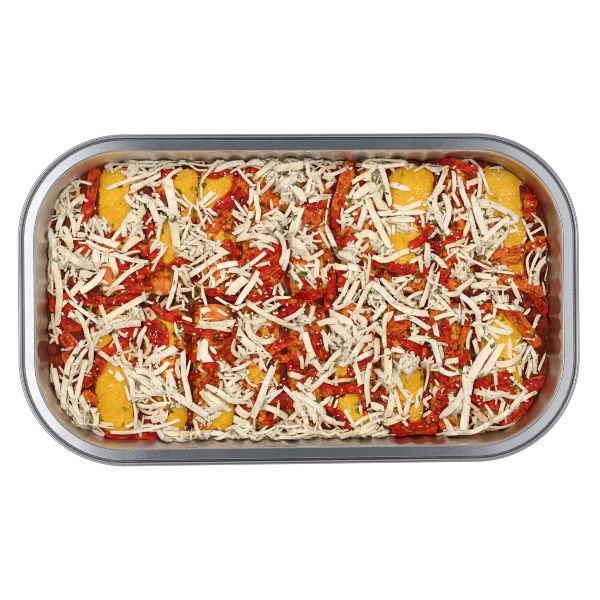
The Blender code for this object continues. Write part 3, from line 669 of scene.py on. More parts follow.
# Dried tomato: width, how rolled, how orange, "+" if over the cheese, then points.
STRIPS = """
7.1 0.5 0.3 -119.5,79.5 -122,64 -124.5,53.5 -127,44
7.7 0.4 0.35 -131.5,33 -121.5,27.5
6.5 0.4 0.15 -90.5,51.5 -89,44 -87.5,37
6.5 0.4 0.3 -100.5,33.5 -90.5,29 -80.5,24
7.1 0.4 0.3 -108,22 -99.5,18
7.1 0.3 0.05 -85.5,72.5 -76,75.5
7.7 0.5 0.05 -31.5,82 -34.5,71.5 -39,60 -50,52
3.5 0.3 0 -54,72.5 -46.5,73.5 -39,76
7.1 0.3 0.3 -28.5,76.5 -21.5,74.5
6.5 0.5 0.75 -20,60.5 -13.5,57 -5.5,54
5.3 0.3 0 -34.5,55.5 -28.5,61.5
5.9 0.5 0.55 -41,52 -46.5,45 -53.5,40.5
7.7 0.4 0.1 -45,34.5 -40.5,30 -36,25.5
7.7 0.6 0.25 -39.5,18 -25,24 -10,31
6.5 0.5 0.15 -25,13.5 -17,19.5 -10.5,25.5
7.1 0.5 0.15 -25,6 -17,10.5 -9.5,17.5
5.9 0.5 0.4 -30.5,-0.5 -21.5,3 -13,6.5
5.3 0.5 0.1 -87.5,17 -73,20.5 -59,27.5
8.3 0.5 0.25 -104,10.5 -93.5,17 -80.5,22
6.5 0.55 0.15 -132.5,2.5 -122,-0.5 -110,-0.5 -98.5,3.5 -86.5,9
4.7 0.3 0.5 -110,5 -99.5,7.5 -87.5,5
7.7 0.8 0.75 30.5,82.5 28,71.5 24,59.5 22,45.5
5.9 0.3 0.1 21,51.5 22,42
8.8 0.7 0.75 1,53.5 6.5,50 11,43
4.7 0.3 0.1 4.5,53.5 16,55
3.5 0.3 0 1.5,71.5 6,69
5.9 0.4 0.05 21,34 27.5,32.5 34,36
4.1 0.3 0.1 4.5,36 11.5,33
5.3 0.4 0.05 + 64.5,30 72,34.5 80,43.5
6.5 0.45 0.05 42.5,22.5 57,18 70.5,16 75.5,13.5
7.1 0.6 0.3 15.5,28.5 18,22 19,11 18,-0.5 19,-7.5
5.9 0.4 0.05 22,18 26.5,13.5 24.5,5
7.1 0.6 0.1 -5,0.5 3.5,1.5 13.5,4
4.7 0.4 0.3 -4,-4 8,-2
5.3 0.4 0.35 7,-3 11.5,-11.5
5.9 0.4 0.1 -1,10 6.5,9
6.5 0.5 0.1 + 82.5,81.5 92,79 105.5,75
5.3 0.3 0.05 98.5,63 106.5,65.5
4.7 0.3 0.3 94,58.5 96.5,53.5
7.1 0.45 0.15 135,72.5 139,64 138,55 137,45.5
4.7 0.4 0.6 134,55 140,56
5.9 0.3 0.1 77.5,45.5 81.5,39.5
5.9 0.5 0.2 81,27.5 89,34.5 98.5,36
5.3 0.3 0.1 85,30 77.5,32.5
5.3 0.5 0.7 107,22 121,26 136.5,29
7.7 0.5 0.65 135,28.5 143.5,32.5 150.5,30.5
4.1 0.4 0.75 110,19.5 124.5,20.5 134,23
4.7 0.3 0.3 88.5,37 100,37
13.0 0.3 0.05 -136.5,5 -135,-5.5 -133.5,-18.5
9.4 0.3 0.3 -139.5,-19.5 -133.5,-27 -129,-30
6.5 0.3 0.85 -138.5,-30 -137,-37
4.1 0.2 0 -146.5,4 -145.5,-6.5
7.7 0.4 0.05 -99.5,-18.5 -108,-26.5 -118.5,-33.5
5.8 0.4 0.05 -114.5,-35 -121.5,-43 -128,-50.5
10.6 0.3 0.2 -92.5,-15 -84,-18.5 -81,-29
7.1 0.3 0.1 -105.5,-17 -93.5,-18.5
8.3 0.3 0.25 -87.5,-21.5 -80.5,-24
5.3 0.5 0.05 -55.5,4.5 -46.5,4 -38,-0.5
4.7 0.3 0 -21.5,4 -11,-0.5 1,-5.5
7.1 0.4 0.05 -16,-11.5 -4,-6.5 2,-0.5
6.5 0.5 0.2 -87.5,-4 -77,-9 -69,-12.5
6.5 0.5 0.15 -72.5,-13.5 -60.5,-18.5 -50,-19.5 -40.5,-22
6.5 0.4 0.5 -30,-4 -34.5,-13.5 -37,-22
7.1 0.6 0.3 -37,-20.5 -41.5,-28 -50,-35 -55.5,-42
4.7 0.4 0.15 -52.5,-43 -58,-50 -63,-58
6.5 0.3 0.2 -64,-31.5 -62,-37
4.7 0.2 0.05 -70,-10 -64,-13.5
7.1 0.5 0.15 -43,-25.5 -34.5,-23
5.3 0.6 0.35 + -18,-32 -11,-26.5 -2,-23
4.7 0.5 0.55 -16,-35 -8,-35 1,-30
8.3 0.4 0.15 -8,-41 1,-37 4.5,-31.5
5.3 0.4 0.15 8,-20.5 10,-29 10,-39.5
5.9 0.5 0.4 12.5,-29 15.5,-36
7.1 0.3 0.2 -5,-42 2,-45.5
5.3 0.3 0.1 3,-45.5 9,-43
5.9 0.2 0.05 -23,-39.5 -17,-43
5.3 0.5 0.45 51.5,-24 55,-17 64.5,-16
7.1 0.4 0.05 57.5,-22.5 67,-28 79,-37
5.3 0.3 0.1 68,-10 75,-17 77.5,-26.5
4.7 0.4 0.2 28,-46.5 35,-39.5 44.5,-33.5
4.7 0.3 0.1 30.5,-45.5 25.5,-49
7.7 0.5 0.85 120,13 131.5,9 146,1.5
5.3 0.4 0.1 141,-0.5 146,-7.5 151,-16
8.3 0.6 0.8 123,-7.5 129.5,-12.5 142.5,-29
6.5 0.5 0.5 139.5,-23 143,-30
4.1 0.4 0.2 90.5,22 87,16 83.5,9 89,4
4.1 0.3 0.3 90.5,18 95,22
7.1 0.6 0.35 87,-13.5 85.5,-25.5 89,-33.5
4.7 0.6 0.6 89,-34.5 95,-31.5 96.5,-22
5.3 0.5 0.5 101,-12.5 97.5,-24 98,-33.5 94,-39.5
3.5 0.3 0.1 91.5,-37 83.5,-39.5
5.3 0.3 0.1 107,-4 113,-9
4.1 0.3 0.05 104.5,-24 107,-30
7.1 0.7 0.75 -128,-53.5 -123,-57.5 -119.5,-61
5.9 0.45 0.1 -116.5,-78 -108.5,-81.5 -96.5,-81.5 -83,-79.5
5.9 0.4 0.35 -24,-76 -16,-70 -8.5,-66.5
7.7 0.3 0.05 -16,-62 -8.5,-59.5 -4,-64.5
4.1 0.2 0 -31.5,-62 -39.5,-63
4.7 0.3 0.1 -56,-49.5 -50,-43.5
6.5 0.5 0.15 11.5,-52.5 22,-53.5 37.5,-52
4.7 0.4 0.1 35,-58.5 39.5,-65.5
7.1 0.4 0.1 42,-58.5 49,-55
5.3 0.4 0 16,-63 23,-69 27.5,-76 28.5,-83
7.7 0.5 0.1 54,-78.5 62.5,-77.5 71.5,-76.5 81,-78.5
4.7 0.4 0.3 74.5,-74 80,-66.5 83.5,-61.5
5.3 0.4 0.1 + 80,-58.5 87,-53.5 95,-50
4.7 0.4 0.15 78,-72 83.5,-64.5 90.5,-58.5
6.5 0.5 0.1 104,-53.5 114,-49 126,-45.5
7.1 0.5 0.3 107,-58 117.5,-53.5 127,-55
7.7 0.4 0.05 102,-58.5 111.5,-62.5 124,-62.5
7.7 0.4 0.05 133,-54.5 142.5,-51.5 147.5,-48
7.1 0.5 0.4 117.5,-75 126,-70 136.5,-64.5
5.9 0.4 0.2 134,-66.5 137.5,-59.5
5.3 0.3 0 83.5,-45.5 88,-49
4.7 0.3 0.05 -89,-68 -82,-74
4.1 0.3 0.2 26.5,-35 31.5,-31.5 36,-36
"""

# Grated cheese, lowest first: width ("s" if soaked), then points.
SHREDS = """
1.7 -139,66.5 -134,69.5 -128,70 -122,68.5
3.1 -136,58 -139,54.5 -143,52
3.7 -136.5,54.5 -140,48.5 -143,41.5
2.0 -134,67.5 -137,64 -139.5,60
2.5s -130.5,69 -130,64.5 -131,60
3.4s -126.5,62.5 -129.5,57 -130.5,52.5
3.1 -128,61 -132.5,57.5 -135,53 -133.5,48.5 -132.5,43.5 -132.5,37.5
3.4 -146,40.5 -144.5,32 -143.5,24
3.4 -138.5,44 -136,39 -134,32
3.7 -140.5,39 -136.5,35.5 -134,30.5
2.8 -128,50 -130,45 -130.5,41
3.4 -130.5,39 -125.5,38.5
4.5 -141.5,32 -135,26.5 -127,21
2.8 -144.5,22.5 -143.5,14
4.2 -122.5,38 -116,35.5 -106.5,32
2.5 -125.5,35.5 -119,31.5 -113.5,29.5
3.4 -119,30.5 -121.5,24 -123,21
3.1 -114.5,28.5 -115.5,22.5
4.2 -111,28 -109.5,22.5 -107.5,15
2.9 -109,27.5 -100,24 -89,22
4.5 -93.5,37 -100,32.5 -103.5,28
2.8 -104,43 -107.5,38.5 -110,35
3.4 -96.5,53.5 -100.5,48 -103,43.5 -102.5,37.5
5.6 -91,54.5 -95,49 -98,44.5
2.8 -81.5,73.5 -91,69 -99,66.5
1.4 -81.5,79 -91,79 -99.5,79.5
1.7 -94.5,81 -81.5,81
2.5 -88.5,70 -95,66 -100,63
3.4 -100.5,77.5 -95,77
3.1 -96,75.5 -101,72.5
3.4 -96,61 -90,58.5 -83,55
3.1 -102,62 -99,57 -94,54.5
3.1 -88.5,68.5 -81.5,68
2.8 -87,62.5 -82,61.5
2.8 -119,45.5 -116.5,41.5 -115.5,37.5
1.7 -80.5,27.5 -84,22 -86.5,17
1.6 -86.5,40.5 -89.5,36
1.6 -86.5,49 -90,44.5
2.4 -83,75.5 -95,72 -104,69 -113,65.5
1.6 -72,80 -79.5,78 -87.5,73.5
1.5 -66,84 -74.5,81.5 -82,79.5
1.4 -71,80.5 -65,80 -59.5,76.5 -54,76.5
1.2 -65,80.5 -56,79 -49.5,79
3.4 -32,80.5 -41,79 -49.5,75.5
3.4 -30.5,79 -26,80.5 -20.5,79
4.5 0.5,78 -7,77 -15,76
3.7 -14.5,80.5 -21,75.5 -27,70.5
3.1 -28,66 -28,60 -29.5,55.5
3.1 -25.5,63.5 -25,57 -24,51 -25,45
2.0 -36,77 -31.5,71.5 -26,65.5
3.4 0.5,71.5 -6,68 -10,63.5
3.1 0.5,73.5 -7.5,68.5 -15,63
2.4 -14.5,71 -18.5,66 -23,62
2.3 -69,77.5 -74,74.5 -77.5,71 -83,69
3.4 -84,59.5 -79,53.5 -74.5,48.5
3.9 -87.5,57 -84.5,50 -83,45.5
5.6 -77,71 -75.5,62.5 -74,55.5 -73.5,49.5
5.1 -75.5,49 -73,40 -72,31
2.4 -79.5,50 -81.5,43.5 -83.5,36
2.1 -74.5,60 -69.5,58 -65,54.5
1.1 -73,64.5 -70,61
3.4 -50.5,63.5 -55,59.5 -59,55.5
1.6 -48,61 -51.5,58 -56,54.5
1.7 -60,60 -59.5,53 -57,46 -55.5,41.5
1.8 -46,83.5 -52.5,75.5 -56.5,71 -57.5,66 -57.5,60
2.1 -54,54 -51,51 -48,49.5
2.1 -54,48.5 -51.5,44.5
2.7 -39.5,53.5 -36.5,49 -32,46.5
2.1 -38,58.5 -34.5,53.5 -30.5,49
3.5 -28,52 -30,45.5 -33.5,37.5
2.8 -33,42 -39,38.5
2.0 -12,54 -16.5,51 -21.5,49
2.1 -29.5,40 -25,43 -18.5,43
3.4 -37,35.5 -28,37.5 -20,36.5 -12.5,34
2.8 -3,57.5 -6,52 -9,47.5
3.4 0.5,51 -2.5,46 -5.5,37.5
3.4 0.5,46.5 -1.5,41.5 -7,35
2.8 -20.5,46.5 -15.5,41 -10,34.5 -9,27.5 -11.5,20.5
1.7 -64.5,40.5 -59.5,37 -52.5,34 -46,32.5
2.4 -62,43.5 -58.5,40 -54.5,37.5
2.1 -64,45.5 -66.5,40.5 -68,35.5
2.7 -69,47.5 -63,48.5
1.9 -77.5,32 -81,26.5 -86.5,21.5
1.6 -59.5,32.5 -57,27.5
2.8 -6.5,29.5 -7.5,23.5 -9.5,17
2.8 -4.5,30 0.5,26.5
1.7 -68.5,62 -66,58.5 -63,55.5
5.1 -5,77 2,78
2.8 4.5,80 6,72.5 11,68.5
3.4 7.5,74.5 11.5,69 13.5,63.5
2.4 28,77 23,74.5 18.5,73 14.5,73.5
2.8 14.5,77 11.5,73.5 8.5,73.5
3.4 17.5,71.5 19.5,69 16,66
3.1 19.5,61 13,59.5 5.5,57
5.1 -3.5,65.5 0.5,61.5 3,57
2.8 6.5,70.5 4.5,61.5
2.5 34,79.5 41.5,77.5 49,77.5 64,79
1.5 46.5,82 55.5,81 64.5,80
3.1 65,77.5 69.5,79.5
2.1 73.5,79.5 77.5,77 81.5,75.5
2.8 46,79 42,74.5 36.5,71.5 31,68
4.5 39.5,73.5 44,63.5 49,52.5
3.5 47.5,79 51,69 54,54.5
5.3 41,66 36.5,62.5 32,59.5
2.1 33.5,66.5 31,62 27.5,55.5
2.7 38,57 32,53.5 27,50.5
3.4 39.5,55.5 37.5,49 35,41
4.2 40,61.5 42.5,53 49,39 53.5,29.5
1.2 18,59 16.5,52.5 15.5,44
3.5 47,50 56.5,50.5 68,50.5 74.5,51.5
3.4 55.5,55.5 62,53 72.5,56.5
1.4 68,59.5 64,57
4.2 54.5,46.5 61,46.5 68.5,46
2.5 49,46.5 53,41.5 53.5,37.5
2.5 56,43.5 55.5,37.5
1.6 57.5,43 63,39.5
3.7 54.5,68 59.5,66 65.5,64
4.8 33.5,36 40,38.5 45.5,35
3.3 37,35 33,30.5
2.7 41,32 36.5,28
3.3 15.5,43.5 19,35.5 22.5,27.5
2.4 11.5,41.5 15,35 18,30
4.8 0.5,53 -2,46 -5,37.5
3.4 -5,55.5 -2,51
2.1 4.5,44 2.5,38.5
1.6 4,35.5 13.5,40.5
5.6 -5,34 0.5,30.5 4.5,24
2.7 14,28 9,25 4,22.5
2.0 83,67 78.5,59 73.5,54.5
2.0 79,55.5 76.5,49 75.5,44.5
3.9 80,57 81.5,51 83,48
2.1 83,40.5 79,37.5 76,35.5
3.5 77.5,76.5 84.5,76
2.4 91,75 91.5,68 91.5,61
3.1 87.5,77 84.5,69 79,57
2.7 86.5,67 82.5,62.5 77,58
3.5 80.5,63 80.5,54 83.5,45 89,37
3.5 86,62 88.5,53.5 88,47.5 85.5,41.5
2.3 90.5,62 94.5,54
3.6 95,71 96.5,63 100.5,53.5
3.7 99,67 105,69 108.5,71.5
2.9 106.5,74.5 108,68 107,59.5
2.0 106,86.5 100.5,84 105,79 109,73 113.5,61.5
1.7 111,61 112.5,57
4.2 106,57 114.5,55 123,51 131,46
2.3 90.5,50 97.5,52.5
2.3 92,46 100,49.5
2.9 100.5,45 98.5,40.5 96.5,36
2.9 80,41.5 85,37.5
2.9 77,47.5 80.5,46
4.7 103,60.5 105,51 108,43 110,37
3.2 101,51 103,40.5 105.5,31.5 107.5,25.5
3.4 127.5,49.5 120.5,44.5 113,38.5 108.5,33.5
2.8 119,46.5 114.5,45.5 109.5,44.5
3.5 103.5,31.5 100.5,29.5 97,28
2.8 97.5,34 91.5,31.5 86.5,30
1.4 94.5,29.5 90.5,26 86.5,22.5
1.7 93,25.5 103.5,21 115.5,16 127.5,14
3.5 78.5,26 82.5,22.5 86,17.5
1.9 97,22 94,17.5 90.5,12
2.0 109.5,22 114,18.5
3.0 117,17.5 123,18
1.4 138.5,50 143,46 146,42 147.5,36
2.0 133.5,46.5 136,41 139.5,33
1.7 146,42 141.5,39.5 137,37
3.3s 135,42 140,43
1.9 136,36 133,31.5
1.7 139,28 136,23 136.5,17 138,11.5
1.8 142.5,26.5 139.5,19.5 137.5,11.5 137.5,7.5
3.7 151.5,25.5 145.5,21 142,15 141.5,7
1.4 145.5,9 146.5,1
2.9 -144,37 -143.5,30.5 -143,23.5
3.1 -140.5,22 -135,22
3.8 -140,30.5 -135,25.5 -127,21 -120.5,19
2.7 -126.5,24 -122.5,21.5
4.5 -119,30 -119,23.5 -118,19.5
4.8 -129.5,16.5 -122,15
1.7 -136,18 -138,13
1.6 -134,18 -131,13.5
4.2 -128,11.5 -131,7.5 -134.5,4
4.4 -114.5,18.5 -119,12.5 -123.5,8.5 -128.5,5.5
1.4 -145.5,16 -145.5,5.5
4.4 -144,23 -141.5,9 -141.5,-2 -143,-14.5
1.8 -138.5,9 -135,3.5 -130.5,-1.5
3.3 -136,-7.5 -131,-9.5
2.0s -146,-7.5 -145,-14.5 -143,-25.5
2.4 -136,0.5 -128,-5.5 -117.5,-14
1.7 -93.5,1 -89,-1 -86,-2
4.2 -89,3 -96.5,-1 -108,-7.5 -118,-13.5
3.1s -106.5,-9.5 -99.5,-12 -94,-11
5.3s -91,-4.5 -85.5,-11
2.1s -125,-5.5 -120,-9.5
2.1 -102.5,-11 -110,-13 -116,-17.5
3.8 -93.5,-13.5 -102.5,-14 -111,-16.5 -119,-20.5
2.1 -118,-20 -121.5,-27.5
2.8 -109,-19 -107.5,-23.5 -105,-30
2.1 -106.5,-18 -101.5,-21.5
2.1 -96,-16.5 -98,-22.5
3.3 -90.5,-15.5 -94,-21.5 -96,-27.5
2.7 -94.5,-29 -94,-35 -94.5,-39.5
3.3 -119,-29.5 -113.5,-33 -107,-38.5
2.6 -104.5,-31.5 -103,-36 -99,-38
2.4 -109,-32 -105.5,-37 -102.5,-42 -100,-49.5
3.3 -131.5,-5.5 -127,-13.5 -124.5,-22.5 -122,-29.5
2.1s -138.5,-29 -133.5,-27.5
3.0 -91,21 -100,16.5 -112,6
2.8s -113.5,3 -108,7 -102.5,8
2.3 -122,-24 -122.5,-30 -123,-37.5
2.7 -126,-36 -128,-41.5 -131.5,-54.5
1.6 -122,-37.5 -125.5,-42.5
3.3 -81.5,-30 -88.5,-35 -91.5,-39
3.3 -103,-40.5 -96.5,-44 -90,-47.5
3.3 -94,-40.5 -86.5,-44 -81.5,-47.5
4.4 -50.5,31 -43,26.5
2.1 -52.5,28.5 -58.5,24 -64.5,20
3.6 -45.5,27 -52.5,22.5 -59.5,18 -65.5,14
2.1 -69.5,19.5 -66.5,15 -65.5,11.5
2.9 -72,18.5 -74,7 -78,-5
2.1 -70.5,10 -72.5,-1.5
2.6 -70,6 -63.5,6
1.6 -69,2.5 -66,-1.5
1.6 -63,8 -63,1
1.6 -69,0 -68.5,-6
2.1 -57.5,9 -57,3.5 -55,-3.5
2.4 -51.5,16.5 -55.5,13 -59.5,9.5
2.7 -52.5,14 -50.5,10 -51.5,7
3.2 -45.5,17.5 -45,12
3.2 -44,8.5 -39.5,10
3.7 -24.5,16.5 -27,11.5 -32,4.5 -37,-3
3.3 -42,17.5 -37,17 -29,14
6.2 -32,12.5 -37,8.5 -41.5,3
2.6 -25.5,12.5 -22,8.5
3.8 -48.5,19 -43,20.5 -36.5,21.5
2.5 -20,27.5 -27,22 -34,17.5
1.9 -49.5,1.5 -44,-2 -36,-6
1.9 -21.5,-3 -14.5,0.5 -5.5,1
2.8 -12,-2.5 -16.5,-5.5 -21,-7
3.5 -32,-1 -23,-7.5 -14.5,-12 0.5,-18.5
2.8 -9,-12.5 -3,-9.5 2,-5.5
2.1 -15.5,2.5 -14,8.5
2.1 -12.5,9 -9.5,3
2.0 -24.5,6 -22.5,3
3.7 -58.5,-6.5 -53,-5.5
2.1 -48.5,-6 -43,-9.5
4.4 -58.5,-14.5 -49.5,-15 -38.5,-13.5
2.6 -57,-15.5 -48,-16.5 -41,-18.5
3.3 -27,-13.5 -20,-12
3.7 -30.5,-12 -30.5,-18 -26,-24 -20,-25.5
3.4 -28,-22 -20,-25 -15,-23
2.7s -38.5,-23 -39.5,-30 -35,-34.5
3.3 -36.5,-27 -32,-34.5
5.0 -37,-18.5 -31.5,-25.5 -24.5,-30.5 -17,-35
1.5 -33,-32 -27,-31
5.9 -55.5,-23.5 -57,-30.5 -54,-36.5
3.1 -53,-27.5 -49.5,-31.5
2.4 -69,-10 -63.5,-12
2.1 -73.5,-13 -72.5,-18.5 -70,-24
2.1 -79,-27 -86.5,-30.5
4.4 -73,-28 -81,-32.5 -87.5,-36.5
3.2 -77.5,-36.5 -82,-41 -87.5,-43.5
1.9 -60.5,-40 -56.5,-42.5
2.5 -47,-37.5 -45,-42.5
2.4 -43,-38 -41.5,-44.5
2.5 -29,-36.5 -35,-40 -41,-41.5
1.0 -24,-35 -27,-38
2.1 -23,-36.5 -20,-42.5
4.4 -7.5,-44 0.5,-46
3.1s -84,5 -81,3.5
3.3 10.5,23.5 10,18 9.5,12.5
2.1 14.5,18 15.5,12.5
3.2 -5,17 1,7
2.4 -2,20.5 3,16 8.5,11
1.5 2.5,19.5 6.5,15.5
1.0 3,12.5 9.5,5.5
3.7 19.5,19 24,18.5 29,18
4.8 28.5,19 36,17.5
3.5 23.5,27 29.5,24 35.5,22
4.3 37,16 38,11
1.9 41.5,26.5 40.5,18 39.5,9
2.9 28.5,10.5 25.5,2.5 20,-4.5
2.6 19.5,-6 25,-4.5 31,-1
3.7 34,10.5 31,4.5 27,-2
2.0 41,3.5 42.5,-2 45,-6
3.5 54.5,10 66.5,12.5
2.0 68,13 62.5,9 56.5,3.5
2.4 73,3.5 68,2 62,-2
2.1 70,-2 65,-3.5 60,1
2.9 48.5,12 53.5,6 59,0 64.5,-2.5
4.2 42.5,9.5 49,4 55.5,-3 63.5,-7.5 76.5,-9.5
3.3 41.5,8.5 36.5,-0.5 31.5,-13
2.6s 67.5,10.5 71.5,10
2.6s 61,5.5 66,5.5
2.6 65,21 72.5,24.5
2.7 71,24.5 72,15
4.2 76,32.5 76,18
1.6 81,14 80,1
3.2 79,16.5 76,6 72,-5.5
3.6 43,24.5 51,22.5 61,27 72.5,30
2.6 79,2.5 84.5,-1.5
3.2 77.5,-1.5 84.5,-6.5
3.3 55.5,-12 64.5,-11.5 77,-18.5
3.6 51,-3 47,-8 43,-13
2.9 51,-8.5 49.5,-19 50,-30
3.2 35,-7.5 42.5,-7.5
4.8 17.5,-8.5 23,-11 31,-15
4.1 10.5,-15 17.5,-13 22,-13.5
4.8 19.5,-15.5 26.5,-21.5 31,-26
2.8 13,-19 17.5,-26
2.6 14,-21.5 16,-31
3.7 26.5,-22.5 29.5,-26.5
3.7 21.5,-26 28.5,-27.5
3.2 31.5,-15.5 33,-23
1.9 47,-13.5 41,-17.5 34,-20
3.2 34,-10 38,-13.5 36,-17
4.3 44.5,-16.5 49,-21.5
4.7 33,-25 42.5,-23
4.3 36.5,-25.5 32,-32 28,-38.5
3.0 44.5,-31 37.5,-33.5 31.5,-37
3.6 46,-23.5 45.5,-30 45,-37
3.2 -5,-16 1.5,-19
4.2 2.5,-19.5 4.5,-27 7.5,-35
3.3 7.5,-35.5 10.5,-40 13,-43.5
3.3 24.5,-30 19,-35 14,-42
3.2 21.5,-37.5 26.5,-39.5
3.3 31.5,-38 33.5,-44 35,-51
3.4 41,-38 39,-49.5 40,-62
3.2 53.5,-30 61,-31.5
3.7 64.5,-23 73.5,-26.5
3.2 69.5,-19 65.5,-22
3.2 67.5,-23.5 76,-24.5 79.5,-29 82,-40.5
1.6 74.5,-37.5 75.5,-46 74,-55.5
3.3 80,-15.5 80.5,-22.5
2.9 124.5,39.5 116,30.5 108.5,21
3.5 105,13.5 111,12.5 118,10.5
3.7 102.5,7 109.5,7.5 116.5,8
3.5 104,11.5 99,8 93,4
3.2 85,2.5 90,2 96,3.5
2.3 82.5,15.5 79.5,4.5
2.9 80.5,1.5 84.5,-2.5 89.5,-8
2.9 91,-9 85,-10.5 80,-12.5
1.1 111.5,5 123,4.5
5.2 111,1.5 106.5,-1.5 102,-2
3.4 95,1.5 101,-3 105.5,-9.5 106.5,-17
5.0 116,-1.5 125,-0.5
3.4 116,-4.5 123,-6 129.5,-6.5 134,-8
3.0 124,11 128,4.5 132.5,-3
2.9 129.5,-1 127.5,-6
2.3 138,-7 134.5,-10.5
2.3 143.5,-10.5 141,-14 138.5,-18.5
1.7 115.5,-6.5 115,-12.5
3.4 113.5,-10.5 108.5,-13
2.5 115.5,-13.5 120.5,-17 126.5,-20
3.5 102.5,-15.5 109.5,-17 118,-20 125.5,-21.5
2.3 111,-17.5 114.5,-22 118,-25
4.6 106,-17 107.5,-23.5
2.9 103.5,-25 106,-34
2.3 102,-19 99.5,-24.5 99,-30.5
4.3 120.5,-27.5 115.5,-35 108.5,-45
5.3 115.5,-26 106,-38.5 100,-52 96,-78.5
3.0 124.5,-24.5 124.5,-30.5 124.5,-36
2.0 138,-29 135,-34.5 133,-38
0.8 130,-24 139.5,-25.5
4.0 115.5,-39.5 123,-39.5 131.5,-35.5
3.7 123,-43.5 128,-42.5
2.6 130.5,-39.5 131.5,-47
3.2 82,-42 88,-45 96,-43.5
3.5 85.5,-38 93,-36.5
3.5 78.5,-26 80.5,-33.5 82.5,-40
2.9 82,-28 84.5,-36
2.9 98,-41 97,-46 97.5,-54.5
4.0 96,-55.5 90.5,-62.5 82,-71
2.8 92.5,-64.5 90,-70.5
3.5 85,-71 87.5,-76 89.5,-81
3.1 103.5,-55.5 112,-58.5
2.8 117.5,-57 125,-59 131.5,-59
2.3 124.5,-47 130,-52 135.5,-57
4.0s 104,-68 110,-73.5
2.3s 99.5,-62.5 106,-67.5
2.3 110.5,-65.5 113.5,-70
2.0 103,-71 103.5,-75
2.6 141,-56.5 131,-61 123,-67.5 115.5,-73.5
1.7 109.5,-76.5 119,-77 129,-74 136.5,-71.5
2.9 80.5,-82 89,-80 101,-79.5 109,-75.5 118.5,-69.5 127,-62.5 134,-55.5
2.3 136.5,-34 137.5,-40 136,-48.5
2.3 139.5,-37 141,-45.5
1.7 147.5,-33.5 145,-38.5 142.5,-44
2.8 138,-30.5 140.5,-37
1.7 80,-48.5 82,-52
1.7 80.5,-52.5 78.5,-57
3.4 86.5,-55.5 89.5,-57
2.8 -125.5,-28 -130.5,-34.5 -134,-42 -137,-50
3.3 -145.5,-39.5 -143.5,-46.5 -141,-58
3.3 -136,-50 -133.5,-57.5 -129.5,-68 -124.5,-77.5
2.7 -136,-61 -131.5,-66.5 -126.5,-72.5
3.7 -129.5,-56 -127,-61.5 -124,-66
3.8 -122,-63.5 -120,-69 -121,-76
2.9 -122,-76 -115.5,-79.5
2.8 -126,-35.5 -128,-42 -131.5,-57
3.4 -127.5,-23 -136,-37 -138.5,-50 -139.5,-65
3.3 -103,-40 -99,-47.5 -98.5,-59
3.7 -100,-42 -92,-47.5 -81.5,-54.5
3.2 -96.5,-41 -89,-43 -81.5,-50
2.1 -103,-50 -100,-60
3.0 -94,-50 -87.5,-54.5 -81.5,-54.5
2.7 -96.5,-61 -89.5,-62.5 -81.5,-61
1.9 -98.5,-57.5 -97,-66.5 -97.5,-76
2.0 -86.5,-73 -95,-74.5
2.1 -92,-69 -81.5,-68
2.4 -81.5,-74 -91,-76 -102.5,-77.5 -111.5,-77
2.6 -112.5,-41 -110,-43
4.3 -108.5,-43 -104.5,-47
3.2 -87.5,-51.5 -80,-53.5
3.3 -87.5,-61.5 -77.5,-61 -68.5,-63
4.4 -87.5,-46 -80,-51.5 -72,-57 -62,-63.5 -53.5,-69
4.3 -78,-42.5 -75.5,-48.5 -74,-55
3.3 -69,-30 -68.5,-43.5 -66.5,-53 -64.5,-62.5
1.6 -65,-35.5 -67,-45
3.2 -87.5,-70.5 -78.5,-69
2.1 -84,-65 -87.5,-69
1.6 -78.5,-64.5 -79,-69
2.1 -71.5,-70.5 -79,-73 -87.5,-74.5
3.7 -84,-76 -80.5,-81
3.6 -78.5,-77.5 -71.5,-78.5
2.1 -73,-82 -65,-83
1.2 -64.5,-76 -64.5,-82.5
2.4 -63,-70.5 -60,-78 -57,-83
5.9 -58.5,-53.5 -51.5,-60 -47,-65
3.3 -56,-54.5 -48.5,-60 -41.5,-66
3.2 -47,-66 -51.5,-69 -56,-70.5
3.7 -55.5,-50 -48,-54.5 -41.5,-59 -33.5,-60
2.8 -61.5,-69 -56,-72.5
3.2 -54,-76.5 -56,-81
3.2 -52.5,-78 -45,-79
2.4 -57,-83.5 -49.5,-82 -41.5,-78
1.6 -39,-74.5 -44.5,-77
2.1 -38.5,-79 -42,-82.5 -46.5,-85
4.8 -38,-63.5 -34.5,-67 -31,-69.5
4.8 -39.5,-70.5 -34,-73 -28.5,-74.5
3.7 -39.5,-74.5 -35,-78 -31,-81.5
3.7 -23.5,-62.5 -16,-65 -7.5,-70.5
3.2 -2.5,-67 -6.5,-71.5
2.4 -10.5,-53.5 -15.5,-56.5 -19.5,-60.5
2.7 -10,-52 -5.5,-56.5 0.5,-62.5
2.7 -3,-61 -1.5,-67 0.5,-69
2.1 -16,-52 -19.5,-58
1.6 -16.5,-45.5 -13.5,-51.5
1.6 -33,-43.5 -30,-49.5 -25,-51.5
3.3 -31,-43 -38,-46.5 -44,-51.5
3.7 -45,-53.5 -36,-52
2.1 -48.5,-43 -46,-45.5 -42.5,-46
3.7 -28,-54.5 -33.5,-59
2.6 -28.5,-61 -31.5,-63.5
4.2 -15.5,-39 -20,-48.5 -24,-59 -28.5,-70
1.9 -11,-72 -14.5,-77 -17.5,-81.5
1.6 -28.5,-79 -20,-77.5 -15,-75
2.6 -26.5,-82.5 -22,-83
2.1 -31,-79.5 -26.5,-81.5
2.4 -13.5,-81 -6.5,-81 0.5,-81.5
1.6 -7.5,-79 0.5,-77.5
1.6 -14.5,-74.5 -4.5,-75 0.5,-74
3.7 -5,-44.5 1.5,-46.5
3.7 6.5,-46 3.5,-51.5
3.5 21,-41 14.5,-46 5.5,-54.5
3.3 -2,-50 4.5,-55.5 13.5,-67
3.7 -5,-55.5 0.5,-58 6,-65 9,-72.5
3.3 -3,-60.5 1.5,-68 3.5,-74
3.3 2,-58 9,-63.5 14.5,-69
